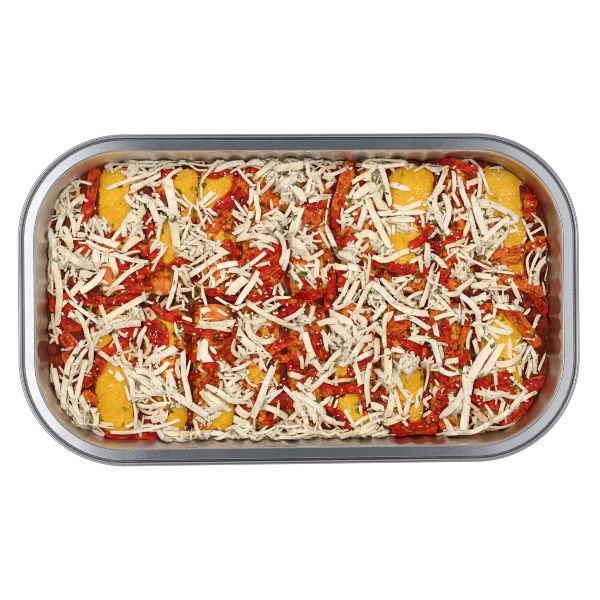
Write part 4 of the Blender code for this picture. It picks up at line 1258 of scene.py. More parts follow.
3.2 18.5,-58 12,-62.5
1.6 19.5,-58 17,-63.5
1.9 22,-59.5 20,-64.5
2.4 26,-65.5 28.5,-70 31,-74.5
2.6 14,-72.5 25.5,-74
3.2 12,-69 19.5,-72.5
1.9 -5,-77 6,-78 14.5,-79.5 19,-83
1.6 -5,-81 5,-79 12,-78
3.2 20,-82.5 28.5,-79.5 37.5,-77.5 45.5,-74.5
2.1 34.5,-76.5 42.5,-73 50,-71.5
1.9 41.5,-81 47,-79.5 53,-79
2.6 31,-75 35.5,-72 42.5,-69 49,-68
4.3 49.5,-73.5 54.5,-72.5 59,-70
4.1 54.5,-56.5 53,-63.5 51,-70.5
3.3 54,-42 59,-52 64,-60
3.2 64,-59 62,-68
4.8 51,-29.5 51.5,-39.5 50.5,-50
2.4 47,-49.5 42.5,-55
2.6 55.5,-53.5 59,-68
2.3 66,-56.5 63.5,-61
3.7 71.5,-53.5 68.5,-65.5
2.6 73,-60.5 76.5,-65.5
1.9 77,-67 73,-70.5
4.6 41.5,-63 49.5,-65.5
2.1 34.5,-61 35.5,-68
2.4s 18.5,-49 25,-48 32,-47.5
3.2 82,-53.5 79,-58
1.9 60,-71.5 64.5,-69.5
3.9 44.5,-42 49,-46.5
3.4 45.5,-33 43,-38
"""


def spots(table, x, y, soft=0.35):
    """How much places lie within the table's ovals, 0 to 1."""
    best = np.zeros(np.shape(x))
    for cx, cy, rx, ry, *share in table:
        d = np.sqrt(((x - cx) / rx) ** 2 + ((y - cy) / ry) ** 2)
        best = np.maximum(best, (share[0] if share else 1.0) * (1 - smooth((d - 1 + soft * 0.5) / soft)))
    return best


def rows(text):
    for line in text.strip().splitlines():
        words = line.split()
        head = [w for w in words if "," not in w]
        yield head, [tuple(float(v) for v in w.split(",")) for w in words if "," in w]


# ------------------------------------------------------------- pasta and sauce
dice = random.Random(4)
TUBES = []
for number in range(1, 19):
    a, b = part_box(f"manicotti_{number:02d}")
    TUBES.append(
        {
            "node": f"manicotti_{number:02d}",
            "x": (a.x + b.x) / 2 / MM,
            "y0": a.y / MM,
            "y1": b.y / MM,
            "w": (b.x - a.x) / MM + 1.7 + dice.uniform(-0.3, 0.3),
            "z0": a.z / MM,
            "h": (b.z - a.z) / MM,
            "seed": 40 + number,
            "bend": dice.uniform(-0.7, 0.7),
            "lean": (0.0, 0.0),
        }
    )
# Some have slumped: wider or narrower, and leaning to the right at the far end.
for index, wider, lean in (
    (1, 4.0, (0.0, 7.5)),
    (2, 0.0, (0.5, 2.0)),
    (6, 4.6, (0.6, 4.6)),
    (7, -3.4, (1.2, 4.2)),
    (8, 3.8, (1.4, 2.0)),
    (17, 4.0, (2.2, 2.4)),
):
    TUBES[index]["w"] += wider
    TUBES[index]["lean"] = lean


def tube_middle(t, y):
    """Where a tube's axis is across the tray, at places along it."""
    f = np.clip((y - t["y0"]) / (t["y1"] - t["y0"]), 0, 1)
    near, far = t["lean"]
    return t["x"] + t["bend"] * np.sin(math.pi * f) + near + (far - near) * f


def tube_relief(p, t):
    """Dents, wrinkles and clinging sauce on a tube, outward, and how sauced it is."""
    lump = fractal(p * np.array([1, 0.75, 1]), 15.0, t["seed"], 3) * 0.85
    wrinkle = fractal(p * np.array([1.0, 2.2, 1.0]), 6.0, t["seed"] + 50, 2)
    near = np.minimum(p[..., 1] - t["y0"], t["y1"] - p[..., 1])
    wrinkle = wrinkle * (0.16 + 0.30 * np.exp(-((near / 9.0) ** 2)))
    ragged = p[..., :2] + 2.2 * np.stack([noise3(p, 8.0, 301), noise3(p, 8.0, 302)], -1)
    clean = spots(BARE, ragged[..., 0], ragged[..., 1])
    stained = spots(STAINED, ragged[..., 0], ragged[..., 1])
    sauced = np.clip(1.0 - clean, 0, 1)
    low = 1 - smooth((p[..., 2] - (SAUCE_Z - 0.8)) / 2.6)
    sauced = np.clip(sauced * (1 - 0.45 * stained) + 0.75 * low, 0, 1)
    pulp = np.abs(fractal(p, 5.5, 88, 3)) * 1.5 + fractal(p, 2.1, 89, 2) * 0.35 + 0.25
    return lump + wrinkle + smooth(sauced * 1.6 - 0.6) * (1 - 0.6 * stained) * pulp, sauced


FILLING = Pile("tone", "stain")


def build_tube(t):
    sides, rings = 60, 60
    ang = TAU * (np.arange(sides) + 0.5) / sides
    c, s = np.cos(ang), np.sin(ang)
    sx, sz = np.sign(c) * np.abs(c) ** 0.82, np.sign(s) * np.abs(s) ** 0.88
    length = t["y1"] - t["y0"]
    mid_z = t["z0"] + t["h"] / 2
    lip = [(1.6, -1.5), (0.5, -1.35), (0.0, -0.75), (0.15, -0.25)]  # back from the end, inset
    skews = [
        noise3(np.column_stack([np.cos(ang) * 3, np.sin(ang) * 3, np.full(sides, e * 9.0)]), 2.2, t["seed"]) * 1.3
        for e in (1, 2)
    ]
    plan = [(t["y0"] + back, cut) for back, cut in lip]
    plan += [(t["y0"] + length * v, 0.0) for v in np.linspace(0, 1, rings)[1:-1]]
    plan += [(t["y1"] - back, cut) for back, cut in reversed(lip)]
    pts = []
    for y, cut in plan:
        f = (y - t["y0"]) / length
        near = min(f, 1 - f) * length
        pinch = 1 - 0.12 * math.exp(-((near / 5.0) ** 2)) + 0.012 * math.sin(9 * f + t["seed"])
        fade = math.exp(-((near / 4.0) ** 2))
        skew = skews[0] * fade if f < 0.5 else -skews[1] * fade
        x = tube_middle(t, y) + sx * (t["w"] / 2 * pinch + cut)
        pts.append(np.column_stack([x, y + skew, mid_z + sz * (t["h"] / 2 * pinch + cut)]))
    p = np.concatenate(pts)
    away = p - np.column_stack([tube_middle(t, p[:, 1]), p[:, 1], np.full(len(p), mid_z)])
    away /= np.maximum(np.linalg.norm(away, axis=1, keepdims=True), 1e-6)
    relief, sauced = tube_relief(p, t)
    sauced = sauced + 0.6 * spots(STAINED, p[:, 0], p[:, 1])
    p = p + away * relief[:, None]
    p[:, 2] = np.maximum(p[:, 2], 1.5)
    p[:, 0], p[:, 1] = kept_in(p[:, 0], p[:, 1], p[:, 2])
    pile = Pile("sauced", "salmon")
    pile.add(p, tube_faces(len(plan), sides, False, False), sauced=sauced, salmon=spots(STAINED, p[:, 0], p[:, 1]))
    pile.build("pasta_" + t["node"][-2:], PASTA, "pasta", replaces=[t["node"]], weld=True)
    # The filling that shows at each open end.
    for end, row in ((0, 0), (1, len(plan) - 1)):
        edge = p[row * sides : (row + 1) * sides]
        middle, into, loops = edge.mean(0), (1.0 if end == 0 else -1.0), []
        for share in (1.0, 0.86, 0.66, 0.42, 0.18):
            q = middle + (edge - middle) * share
            q[:, 1] -= (1 - share**2) * 2.4 * into
            q[:, 1] += noise3(q * np.array([1, 0, 1]), 3.2, t["seed"] + 7) * (1 - share)
            loops.append(q)
        FILLING.add(np.concatenate(loops), tube_faces(len(loops), sides, False, True), tone=0.75, stain=0.25)


for t in TUBES:
    build_tube(t)
keep_inside(FILLING)
FILLING.build("ricotta_filling", CHEESE, "cheese", weld=True)

# The lie of the land: a map of heights in mm, which everything laid on top
# reads and then raises.
STEP = 0.5
MX, MY = 304, 174
GX, GY = int(MX / STEP), int(MY / STEP)
gx, gy = np.meshgrid(
    (np.arange(GX) + 0.5) * STEP - MX / 2, (np.arange(GY) + 0.5) * STEP - MY / 2, indexing="ij"
)


def sauce_height(x, y):
    p = np.stack([x, y, np.zeros_like(x)], -1)
    wave = fractal(p, 17.0, 31, 3) * 0.9 + fractal(p, 4.2, 37, 2) * 0.45
    rise = np.exp(-((wall_reach(x, y) - wall_in(SAUCE_Z)) / 2.2).clip(0)) * 0.8
    # The food is heaped highest in the far right corner.
    inner = smooth((wall_reach(x, y) - wall_in(SAUCE_Z)) / 3.5)
    heap = 4.5 * np.exp(-(((x - 139) / 9) ** 2) - ((y - 66) / 14) ** 2) * inner
    return SAUCE_Z - 0.4 + wave + rise + heap


LAND = sauce_height(gx, gy)
for t in TUBES:
    u = np.abs(gx - tube_middle(t, gy)) / (t["w"] / 2)
    inside = (u < 1) & (gy > t["y0"] + 0.5) & (gy < t["y1"] - 0.5)
    top = t["z0"] + t["h"] / 2 * (1 + np.clip(1 - u ** (2 / 0.82), 0, 1) ** 0.44)
    where = np.nonzero(inside)
    p = np.stack([gx[where], gy[where], top[where]], -1)
    LAND[where] = np.maximum(LAND[where], top[where] + tube_relief(p, t)[0] * 0.9)


def build_sauce():
    core, way, ridge, place = outline(1.5)
    n = len(core)
    pile = Pile("oil")
    shore = wall_in(SAUCE_Z) + wall_push(SAUCE_Z, ridge, place) - 0.1
    insets = list(np.linspace(0, 6, 9)) + list(np.linspace(7.4, CORNER - wall_in(SAUCE_Z) - 2.2, 18))
    rings = []
    for d in insets:
        flat = smooth(d / 9.0)
        rings.append(core + way * (CORNER - (shore * (1 - flat) + wall_in(SAUCE_Z) * flat) - d)[:, None])
    last = rings[-1]
    for s in np.linspace(1, 0, 19)[1:]:
        rings.append(core * np.array([0.55 + 0.45 * s, s]) + (last - core) * s)
    flat_rings = np.concatenate(rings)
    z = sauce_height(flat_rings[:, 0], flat_rings[:, 1])
    shore = wall_in(z[:n]) + wall_push(z[:n], ridge, place) + 0.22
    flat_rings[:n] = core + way * (CORNER - shore)[:, None]
    dist = np.concatenate([np.full(n, d) for d in insets] + [np.full(n, 99.0)] * 18)
    wobble = noise3(np.column_stack([flat_rings, z * 0]), 9.0, 12)
    patch = noise3(np.column_stack([flat_rings, z * 0]), 34.0, 14)
    # Oil has risen along the near left and right; elsewhere there is little.
    x, y = flat_rings[:, 0], flat_rings[:, 1]
    side = smooth((np.abs(x) - 104) / 14) * (0.4 + 0.6 * smooth((62 - y) / 30))
    oil = (1 - smooth((dist - 0.30 - 0.35 * wobble) / 0.5)) * smooth(side + 0.7 * patch - 0.05)
    pile.add(np.column_stack([flat_rings, z]), tube_faces(len(rings), n, False, False), oil=oil)
    start, skirt = pile.count, []
    for zz in (16.0, 10.0, 6.0, 2.0, 0.7):
        inset = wall_in(max(zz, 5.5)) + 0.9 + (wall_push(zz, ridge, place) if zz > 5 else 0 * ridge)
        if zz < 5:
            inset = inset + 5.0 - math.sqrt(max(25 - (5.2 - zz) ** 2, 0))
        skirt.append(np.column_stack([core + way * (CORNER - inset)[:, None], np.full(n, zz)]))
    skirt.append(np.column_stack([core[:, 0] * 0.55, core[:, 1] * 0, np.full(n, 0.7)]))
    pile.add(np.concatenate(skirt), tube_faces(len(skirt), n, False, False), oil=0.0)
    k = np.arange(n)
    m = (k + 1) % n
    pile.f.append((np.stack([k, start + k, start + m, m], -1), 4))
    pile.build("tomato_sauce_bed", SAUCE, "sauce", replaces=["sauce"], weld=True)


build_sauce()


# --------------------------------------------------------- laying things down
def cells(x, y):
    i = np.clip(((x + MX / 2) / STEP).astype(int), 0, GX - 1)
    j = np.clip(((y + MY / 2) / STEP).astype(int), 0, GY - 1)
    return i, j


def at(x, y):
    """Heights of the land under points."""
    i, j = cells(x, y)
    return LAND[i, j]


def raise_to(x, y, z):
    i, j = cells(x, y)
    np.maximum.at(LAND, (i.ravel(), j.ravel()), z.ravel())


def curve(points, step):
    """A smooth path through a few points, sampled about every step."""
    pts = np.asarray(points, float)
    if len(pts) == 2:
        n = max(4, int(round(np.hypot(*(pts[1] - pts[0])) / step)) + 1)
        return pts[0] + (pts[1] - pts[0]) * np.linspace(0, 1, n)[:, None]
    ext = np.vstack([2 * pts[0] - pts[1], pts, 2 * pts[-1] - pts[-2]])
    out = []
    for a, b, c, d in zip(ext, ext[1:], ext[2:], ext[3:]):
        t = np.linspace(0, 1, 24, endpoint=False)[:, None]
        out.append(0.5 * ((2 * b) + (c - a) * t + (2 * a - 5 * b + 4 * c - d) * t**2 + (3 * b - a - 3 * c + d) * t**3))
    dense = np.vstack(out + [pts[-1:]])
    s = np.concatenate([[0], np.cumsum(np.hypot(*np.diff(dense, axis=0).T))])
    n = max(4, int(round(s[-1] / step)) + 1)
    t = np.linspace(0, s[-1], n)
    return np.column_stack([np.interp(t, s, dense[:, 0]), np.interp(t, s, dense[:, 1])])


def drape(low, sag):
    """Heights of something springy that lies over heights low: it spans the
    dips, with a steady sag between the places it touches."""
    n = len(low)
    i = np.arange(n, dtype=float)
    g = low - sag * i * i
    hull = [0]
    for k in range(1, n):
        while len(hull) > 1:
            a, b = hull[-2], hull[-1]
            if (g[b] - g[a]) * (k - a) <= (g[k] - g[a]) * (b - a):
                hull.pop()
            else:
                break
        hull.append(k)
    h = np.interp(i, hull, g[hull]) + sag * i * i
    for _ in range(2):  # eases the kinks over narrow supports
        m = h.copy()
        m[1:-1] = 0.25 * (h[:-2] + h[2:]) + 0.5 * h[1:-1]
        h = np.maximum(m, low)
    return h


def frame_of(path):
    along = np.gradient(path, axis=0)
    along /= np.maximum(np.hypot(along[:, 0], along[:, 1]), 1e-9)[:, None]
    return along, np.column_stack([-along[:, 1], along[:, 0]])


def lie(path, width, thick, sag, tilt_most=0.42):
    """Middle heights and cross tilt of a ribbon laid on the land."""
    along, side = frame_of(path)
    offs = np.linspace(-0.5, 0.5, 5)
    heights = np.stack([at(path[:, 0] + side[:, 0] * o * width, path[:, 1] + side[:, 1] * o * width) for o in offs])
    slope = np.polyfit(offs * width, heights, 1)[0]
    slope = np.convolve(np.pad(slope, 2, mode="edge"), np.array([1, 2, 3, 2, 1]) / 9, "valid")
    slope = np.clip(slope, -tilt_most, tilt_most)
    rest = (heights - offs[:, None] * width * slope).max(0)
    return drape(rest, sag) + thick / 2, slope, side, along


def stamp(path, side, f, width, top, slope, edge=None, reach=0.46):
    """Raises the land to a laid ribbon's upper face."""
    n = len(path)
    length = np.hypot(*np.diff(path, axis=0).T).sum()
    fine = np.linspace(0, 1, max(3, int(length / 0.4)))
    cross = np.linspace(-reach, reach, max(3, int(np.max(width) / 0.4)))

    def on(v):
        return np.interp(fine, f, v)[:, None]

    o = cross[None] * on(np.broadcast_to(width, (n,)))
    z = on(top) + o * on(slope)
    if edge is not None:
        z = z + np.abs(2 * cross)[None] ** 2.2 * on(edge)
    raise_to(on(path[:, 0]) + on(side[:, 0]) * o, on(path[:, 1]) + on(side[:, 1]) * o, z)


SECTION = np.array(
    [(-0.5, -0.2), (-0.5, 0.2), (-0.44, 0.5), (0.44, 0.5), (0.5, 0.2), (0.5, -0.2), (0.44, -0.5), (-0.44, -0.5)]
)


SECTION_6 = np.array([(-0.5, 0.0), (-0.43, 0.5), (0.43, 0.5), (0.5, 0.0), (0.43, -0.5), (-0.43, -0.5)])


def shred(pile, points, width, thick, rng, tone, stain=0.0, step=1.7, sag=0.035, lift=0.0, rough=0.06, section=SECTION):
    """One grated ribbon of cheese along points, laid on what is there."""
    path = curve(points, step)
    n = len(path)
    z, slope, side, along = lie(path, width, thick, sag)
    z = np.minimum(z + lift, 37.0)
    f = np.linspace(0, 1, n)
    w = width * (1 + rough * np.interp(f, np.linspace(0, 1, 5), [rng.uniform(-1, 1) for _ in range(5)]))
    ends = rng.choice((1.0, 0.9, 0.8, 0.5)), rng.choice((1.0, 0.9, 0.75, 0.45))
    w *= 1 - (1 - ends[0]) * np.exp(-f * n / 1.2) - (1 - ends[1]) * np.exp(-(1 - f) * n / 1.2)
    t = thick * (1 - 0.30 * (np.exp(-f * n / 0.9) + np.exp(-(1 - f) * n / 0.9)))
    roll = slope + rng.uniform(-0.10, 0.10) + rng.uniform(-0.3, 0.3) * (f - 0.5)
    cut = rng.uniform(-0.8, 0.8), rng.uniform(-0.8, 0.8)
    m = len(section)
    s = section[:, 0][None] * w[:, None]
    u = section[:, 1][None] * t[:, None]
    # Its edges crumble a little, and its faces aren't flat.
    jag = np.array([[rng.uniform(-1, 1) for _ in range(m)] for _ in range(n)])
    s = s + jag * 0.04 * width * (np.abs(section[:, 0]) > 0.4)
    u = u + np.roll(jag, 3, axis=1) * 0.06 * thick
    slide = np.zeros((n, m))
    slide[0] = s[0] * cut[0]
    slide[-1] = s[-1] * cut[1]
    x = path[:, 0:1] + side[:, 0:1] * s + along[:, 0:1] * slide
    y = path[:, 1:2] + side[:, 1:2] * s + along[:, 1:2] * slide
    zz = z[:, None] + s * roll[:, None] + u
    x, y = kept_in(x, y, zz, 0.2)
    tones = tone + 0.10 * np.interp(f, np.linspace(0, 1, 4), [rng.uniform(-1, 1) for _ in range(4)])
    pile.add(np.stack([x, y, zz], -1).reshape(-1, 3), tube_faces(n, m), tone=np.repeat(tones, m), stain=stain)
    stamp(path, side, f, w, z + t / 2, roll)


def strip(pile, points, width, thick, rng, curl=0.5, flesh=0.2, step=0.75, sides=26, bumps=1.0):
    """One strip of dried tomato: a leathery band with rolled, wrinkled edges."""
    path = curve(points, step)
    n = len(path)
    f = np.linspace(0, 1, n)
    z, slope, side, along = lie(path, width * 0.9, thick, 0.02, 0.5)
    seed = rng.randrange(10000)
    grid = np.column_stack([path, np.zeros(n)])
    ends = rng.uniform(0.3, 0.65), rng.uniform(0.3, 0.65)
    w = width * (1 + 0.22 * noise3(grid, 6.5, seed))
    w *= 1 - (1 - ends[0]) * np.exp(-f * n * step / 2.2) - (1 - ends[1]) * np.exp(-(1 - f) * n * step / 2.2)
    ang = TAU * np.arange(sides) / sides
    cx, sz = np.cos(ang), np.sin(ang)
    a = np.sign(cx) * np.abs(cx) ** 0.8 * 0.5
    t = thick * (0.75 + 0.25 * np.abs(2 * a) ** 3)
    phase = noise3(grid, 14.0, seed + 3)
    bow = curl * (0.55 + 0.6 * noise3(grid, 9.0, seed + 5))
    # The band's edges roll up; its middle stays down.
    lift = bow[:, None] * (np.abs(2 * a)[None] ** 2.2) * width * 0.30
    lift = lift * (1 + 0.5 * phase[:, None] * np.sign(a)[None])
    s = a[None] * w[:, None] * (1 - 0.16 * np.abs(bow[:, None]))
    u = np.sign(sz)[None] * np.abs(sz)[None] ** 0.9 * t[None] / 2 + lift
    zz = z[:, None] + s * slope[:, None] + u
    p = np.stack([path[:, 0:1] + side[:, 0:1] * s, path[:, 1:2] + side[:, 1:2] * s, zz], -1)
    # Wrinkles run mostly along the strip.
    q = np.stack(
        [np.broadcast_to((f * n * step * 0.42)[:, None], s.shape), s * 1.25, np.sign(sz)[None] * 3 + s * 0], -1
    )
    ridge = 1 - np.abs(noise3(q, 1.9, seed + 11))
    fold = noise3(q, 0.95, seed + 19)
    deep = (ridge**2 - 0.45) * 0.85 + fractal(q, 3.4, seed + 13, 2) * 0.7 + fold * 0.28
    p[..., 2] += deep * 0.95 * np.sign(sz)[None] * np.abs(sz)[None] ** 0.5 * bumps
    out = deep * 0.45 * np.sign(a)[None] * np.abs(2 * a)[None] ** 2
    p[..., 0] += side[:, 0:1] * out
    p[..., 1] += side[:, 1:2] * out
    p[..., 0], p[..., 1] = kept_in(p[..., 0], p[..., 1], p[..., 2], 0.2)
    tint = flesh + 0.55 * np.abs(2 * a)[None] ** 4 * (0.6 + phase[:, None])
    # Painted highlight: the raised ridges are tinted more orange.
    tint = tint + 0.30 * (ridge - 0.6) + 0.30 * noise3(q, 5.0, seed + 23)
    # Painted shade: the low creases on the upper face are darkened.
    crease = smooth((0.10 - deep) / 0.75) * (sz > -0.2)[None]
    pile.add(p.reshape(-1, 3), tube_faces(n, sides), flesh=np.clip(tint, 0, 1).ravel(), crease=crease.ravel())
    stamp(path, side, f, w, z + thick / 2 + 0.15, slope, np.maximum(bow, 0) * width * 0.22, 0.45)
    return path


def blob(pile, centre, size, rng, rings=5, sides=8, rough=0.25, turn=None, **numbers):
    """A small lumpy grain: size is its three half sizes."""
    turn = rng.uniform(0, TAU) if turn is None else turn
    lat = np.linspace(-math.pi / 2, math.pi / 2, rings + 2)[1:-1]
    lon = TAU * np.arange(sides) / sides
    la, lo_ = np.meshgrid(lat, lon, indexing="ij")
    d = np.stack([np.cos(la) * np.cos(lo_), np.cos(la) * np.sin(lo_), np.sin(la)], -1)
    d = np.concatenate([[[0, 0, -1.0]], d.reshape(-1, 3), [[0, 0, 1.0]]])
    seed = rng.randrange(9999)
    k = 1 + rough * noise3(d + seed, 0.9, seed)
    p = d * k[:, None] * np.asarray(size)
    tip = Matrix.Rotation(turn, 3, "Z") @ Matrix.Rotation(rng.uniform(-0.5, 0.5), 3, "X")
    p = p @ np.array(tip).T + np.asarray(centre)
    m = np.arange(sides)
    nx = (m + 1) % sides
    low = np.stack([np.zeros(sides, int), 1 + nx, 1 + m], -1)
    body = tube_faces(rings, sides, False, False)[0] + 1
    top_i = 1 + rings * sides
    base = 1 + (rings - 1) * sides
    high = np.stack([base + m, base + nx, np.full(sides, top_i)], -1)
    pile.add(p, [low, body, high], **numbers)


# --------------------------------------------------------------- dried tomato
rng = random.Random(21)
tomato = [Pile("flesh", "crease"), Pile("flesh", "crease")]
bits = Pile("flesh", "crease")
late, wet_paths = [], []


def lay_strip(k, head, points):
    width, curl, flesh = (float(v) for v in head[:3])
    wet_paths.append(strip(tomato[k % 2], points, width, rng.uniform(1.3, 1.8), rng, curl, flesh))


for k, (head, points) in enumerate(rows(STRIPS)):
    if len(head) > 3:
        late.append((k, head, points))
    else:
        lay_strip(k, head, points)

# Small torn bits of tomato, between the strips and wherever pasta isn't bare.
WET = np.concatenate(wet_paths)
count = 0
while count < 195:
    if count < 110:
        x, y = rng.uniform(-142, 142), rng.uniform(-77, 77)
    else:
        x, y = WET[rng.randrange(len(WET))] + np.array([rng.gauss(0, 3.5), rng.gauss(0, 3.5)])
    if wall_reach(x, y) < 17.5 or spots(BARE, np.array(x), np.array(y)) > 0.25:
        continue
    turn, half = rng.uniform(0, math.pi), rng.uniform(1.2, 3.8)
    dx, dy = math.cos(turn) * half, math.sin(turn) * half
    bend = rng.uniform(-1.2, 1.2)
    points = [(x - dx, y - dy), (x - dy * 0.2 * bend, y + dx * 0.2 * bend), (x + dx, y + dy)]
    strip(bits, points, rng.uniform(2.0, 4.4), rng.uniform(1.0, 1.9), rng, rng.uniform(0.2, 0.8), rng.choice((0, 0.1, 0.3, 0.7)), 0.8, 14, 0.9)
    count += 1

# --------------------------------------------------------------- grated cheese
SHRED_ROWS = [(head[0], points) for head, points in rows(SHREDS)]
thread = []
for head, points in SHRED_ROWS:
    thread.append(curve(points, 2.0))
near_cheese = np.concatenate(thread)


def cheese_near(x, y):
    d = np.hypot(near_cheese[:, 0] - x, near_cheese[:, 1] - y)
    return int((d < 5.0).sum())


def tomato_near(x, y):
    return np.hypot(WET[:, 0] - x, WET[:, 1] - y).min()


loose = [Pile("tone", "stain"), Pile("tone", "stain")]

# Where grated cheese is heaped thickest: place, half sizes, how many extra.
HEAPS = [
    (63, -39, 5.3, 5.3, 40),
    (-12, 45, 5.3, 4.7, 30),
    (46, 66, 4.1, 7.0, 24),
    (-65, 30, 7.0, 5.8, 30),
    (-119, 43, 7.0, 4.1, 24),
    (-97, 42, 3.5, 8.2, 22),
    (-29, -14, 7.0, 4.7, 22),
    (24, -19, 5.3, 4.7, 18),
    (27, -33, 3.5, 5.3, 16),
    (52, -48, 4.7, 4.7, 20),
    (-93, -55, 4.7, 5.8, 24),
    (-129, -70, 4.1, 4.1, 16),
    (108, 52, 7.0, 3.5, 16),
    (124, 40, 4.7, 4.7, 7),
    (108, 33, 4.1, 2.9, 12),
    (95, 16, 7.0, 3.5, 16),
    (130, -31, 2.9, 7.0, 7),
    (105, -44, 4.7, 2.9, 10),
    (91, -63, 4.7, 3.5, 12),
    (114, -58, 7.0, 2.3, 10),
    (-9, 72, 12.9, 5.3, 40),
    (5, 33, 5.3, 4.1, 16),
    (46, 33, 4.1, 4.1, 14),
    (30, 28, 5.3, 3.5, 14),
    (-39, -54, 4.1, 4.1, 12),
    (-107, 79, 4.7, 1.8, 8),
    (-140, 26, 4.7, 3.5, 8),
    (3, -11, 4.5, 4.5, 14),
    (45, 0, 4.5, 4, 12),
    (51, 27, 4, 4, 10),
    (63, 42, 4.5, 3.5, 10),
    (-97, -8, 4.5, 4, 10),
    (-22, 33, 4, 4, 10),
    (-54, -63, 4, 4, 8),
    (7, 63, 4, 4, 10),
    (19, -25, 4, 4, 8),
    (115, 36, 4, 4, 8),
    (78, -40, 4, 4, 8),
    (95, -11, 4, 4, 10),
    (-6, 60, 5, 5, 16),
    (-71, 45, 4, 4, 9),
    (29, 46, 3.5, 4, 7),
    (31, 14, 4, 4, 7),
    (113, -43, 4, 4, 5),
    (110, -22, 5, 3, 5),
    (100, 26, 4, 4, 6),
    (3, -36, 4, 4, 5),
    (-54, 31, 4, 4, 6),
    (-82, 31, 4, 4, 6),
    (118, 35, 4, 4, 5),
    (113, 50, 4, 3, 5),
]

# Where there is hardly any loose cheese between the long shreds.
SPARSE = [
    (-51, -4, 7, 6),
    (76, -51, 7, 6),
    (-34, -12, 6, 6),
    (89, -74, 8, 6),
    (-113, -73, 6, 7),
    (67, 7, 8, 6),
    (-11, -49, 7, 5),
    (-25, 28, 6, 6),
    (-78, 14, 7, 5),
    (-60, -40, 6, 6),
    (93, -22, 6, 8),
    (106, -62, 8, 5),
    (24, -77, 5, 6),
    (-68, 27, 6, 4),
]

# Where tomato, pasta or bare wall shows right up to the tray's side.
OPEN = [(-123, 74, 15, 12), (-141, 47, 6, 9), (142, 55, 22, 34), (140, -60, 20, 26), (70, -81, 18, 7), (-97, -82, 15, 5), (31, 80, 8, 7), (71, 83, 11, 5), (110, 82, 9, 4), (-61, 74, 16, 9), (-109, 74, 9, 9)]


def blurred(a, size):
    """A map smoothed over size mm."""
    kx, ky = np.fft.fftfreq(GX, STEP)[:, None], np.fft.rfftfreq(GY, STEP)[None]
    return np.fft.irfft2(np.fft.rfft2(a) * np.exp(-2 * (math.pi * size) ** 2 * (kx**2 + ky**2)), s=a.shape)


def counted(points, size):
    """How many points there are a square mm, as a smooth map."""
    total = np.zeros((GX, GY))
    i, j = cells(points[:, 0], points[:, 1])
    np.add.at(total, (i, j), 1.0)
    return blurred(total, size) / STEP**2


def build_cheese_bed():
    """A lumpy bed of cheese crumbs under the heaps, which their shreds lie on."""
    heap = spots([(x, y, rx * 1.1, ry * 1.1) for x, y, rx, ry, _ in HEAPS], gx, gy, 0.6)
    reach = wall_reach(gx, gy)
    ring = smooth((reach - 11.0) / 1.2) * smooth((17.5 - reach) / 2.5)
    ring = ring * (1 - spots(OPEN, gx, gy, 0.2)) * (1 - ((gx > 116) | ((gx < -126) & (gy > -54) & (gy < 0))))
    field = counted(near_cheese, 2.3) / 0.125 + 0.9 * heap + 1.1 * ring
    field = field + 0.35 * noise3(np.stack([gx, gy, gx * 0], -1), 4.5, 401)
    field = field - 2.2 * spots(BARE + SPARSE, gx, gy, 0.3) - 2.0 * np.clip(counted(WET, 1.4) / 0.22, 0, 1.3)
    field[reach < 11.2] = 0
    deep = blurred(LAND, 1.6)
    lumps = fractal(np.stack([gx, gy, gx * 0], -1), 2.6, 402, 2)
    top = deep + 1.25 * smooth((field - 0.8) / 0.8) - 0.45 + 0.55 * lumps
    top = np.minimum(top, 35.5)
    pick = slice(0, None, 2)
    f, x, y, z = field[pick, pick], gx[pick, pick], gy[pick, pick], top[pick, pick]
    used = (f[:-1, :-1] + f[1:, :-1] + f[:-1, 1:] + f[1:, 1:]) / 4 > 1.2
    index = np.arange(f.size).reshape(f.shape)
    a, b, c, d = index[:-1, :-1], index[1:, :-1], index[1:, 1:], index[:-1, 1:]
    faces = np.stack([a[used], b[used], c[used], d[used]], -1)
    walls = []
    padded = np.pad(used, 1)
    for cut, first, second in (
        (padded[1:-1, :-2], a, b),
        (padded[2:, 1:-1], b, c),
        (padded[1:-1, 2:], c, d),
        (padded[:-2, 1:-1], d, a),
    ):
        rim = used & ~cut
        walls.append(np.stack([first[rim], first[rim] + f.size, second[rim] + f.size, second[rim]], -1))
    kept, again = np.unique(np.concatenate([faces, faces + f.size]), return_inverse=True)
    place = np.zeros(f.size * 2, int)
    place[kept] = np.arange(len(kept))
    x, y, z = x.ravel(), y.ravel(), z.ravel()
    points = np.concatenate([np.column_stack([x, y, z]), np.column_stack([x, y, z - 1.6])])[kept]
    points[:, 0], points[:, 1] = kept_in(points[:, 0], points[:, 1], points[:, 2])
    # Painted warm shade: the bed, seen in the gaps between shreds, gets middling tones and much orange.
    tone = 0.45 + 0.3 * noise3(points, 3.0, 403)
    stain = 0.45 + 0.35 * noise3(points, 6.0, 404)
    bed = Pile("tone", "stain")
    bed.add(points, [place[g] for g in (faces, faces[:, ::-1] + f.size, np.concatenate(walls))], tone=tone, stain=stain)
    bed.build("cheese_bed", CHEESE, "cheese", weld=True)
    inside = field > 1.25
    LAND[inside] = np.maximum(LAND, top)[inside]


build_cheese_bed()


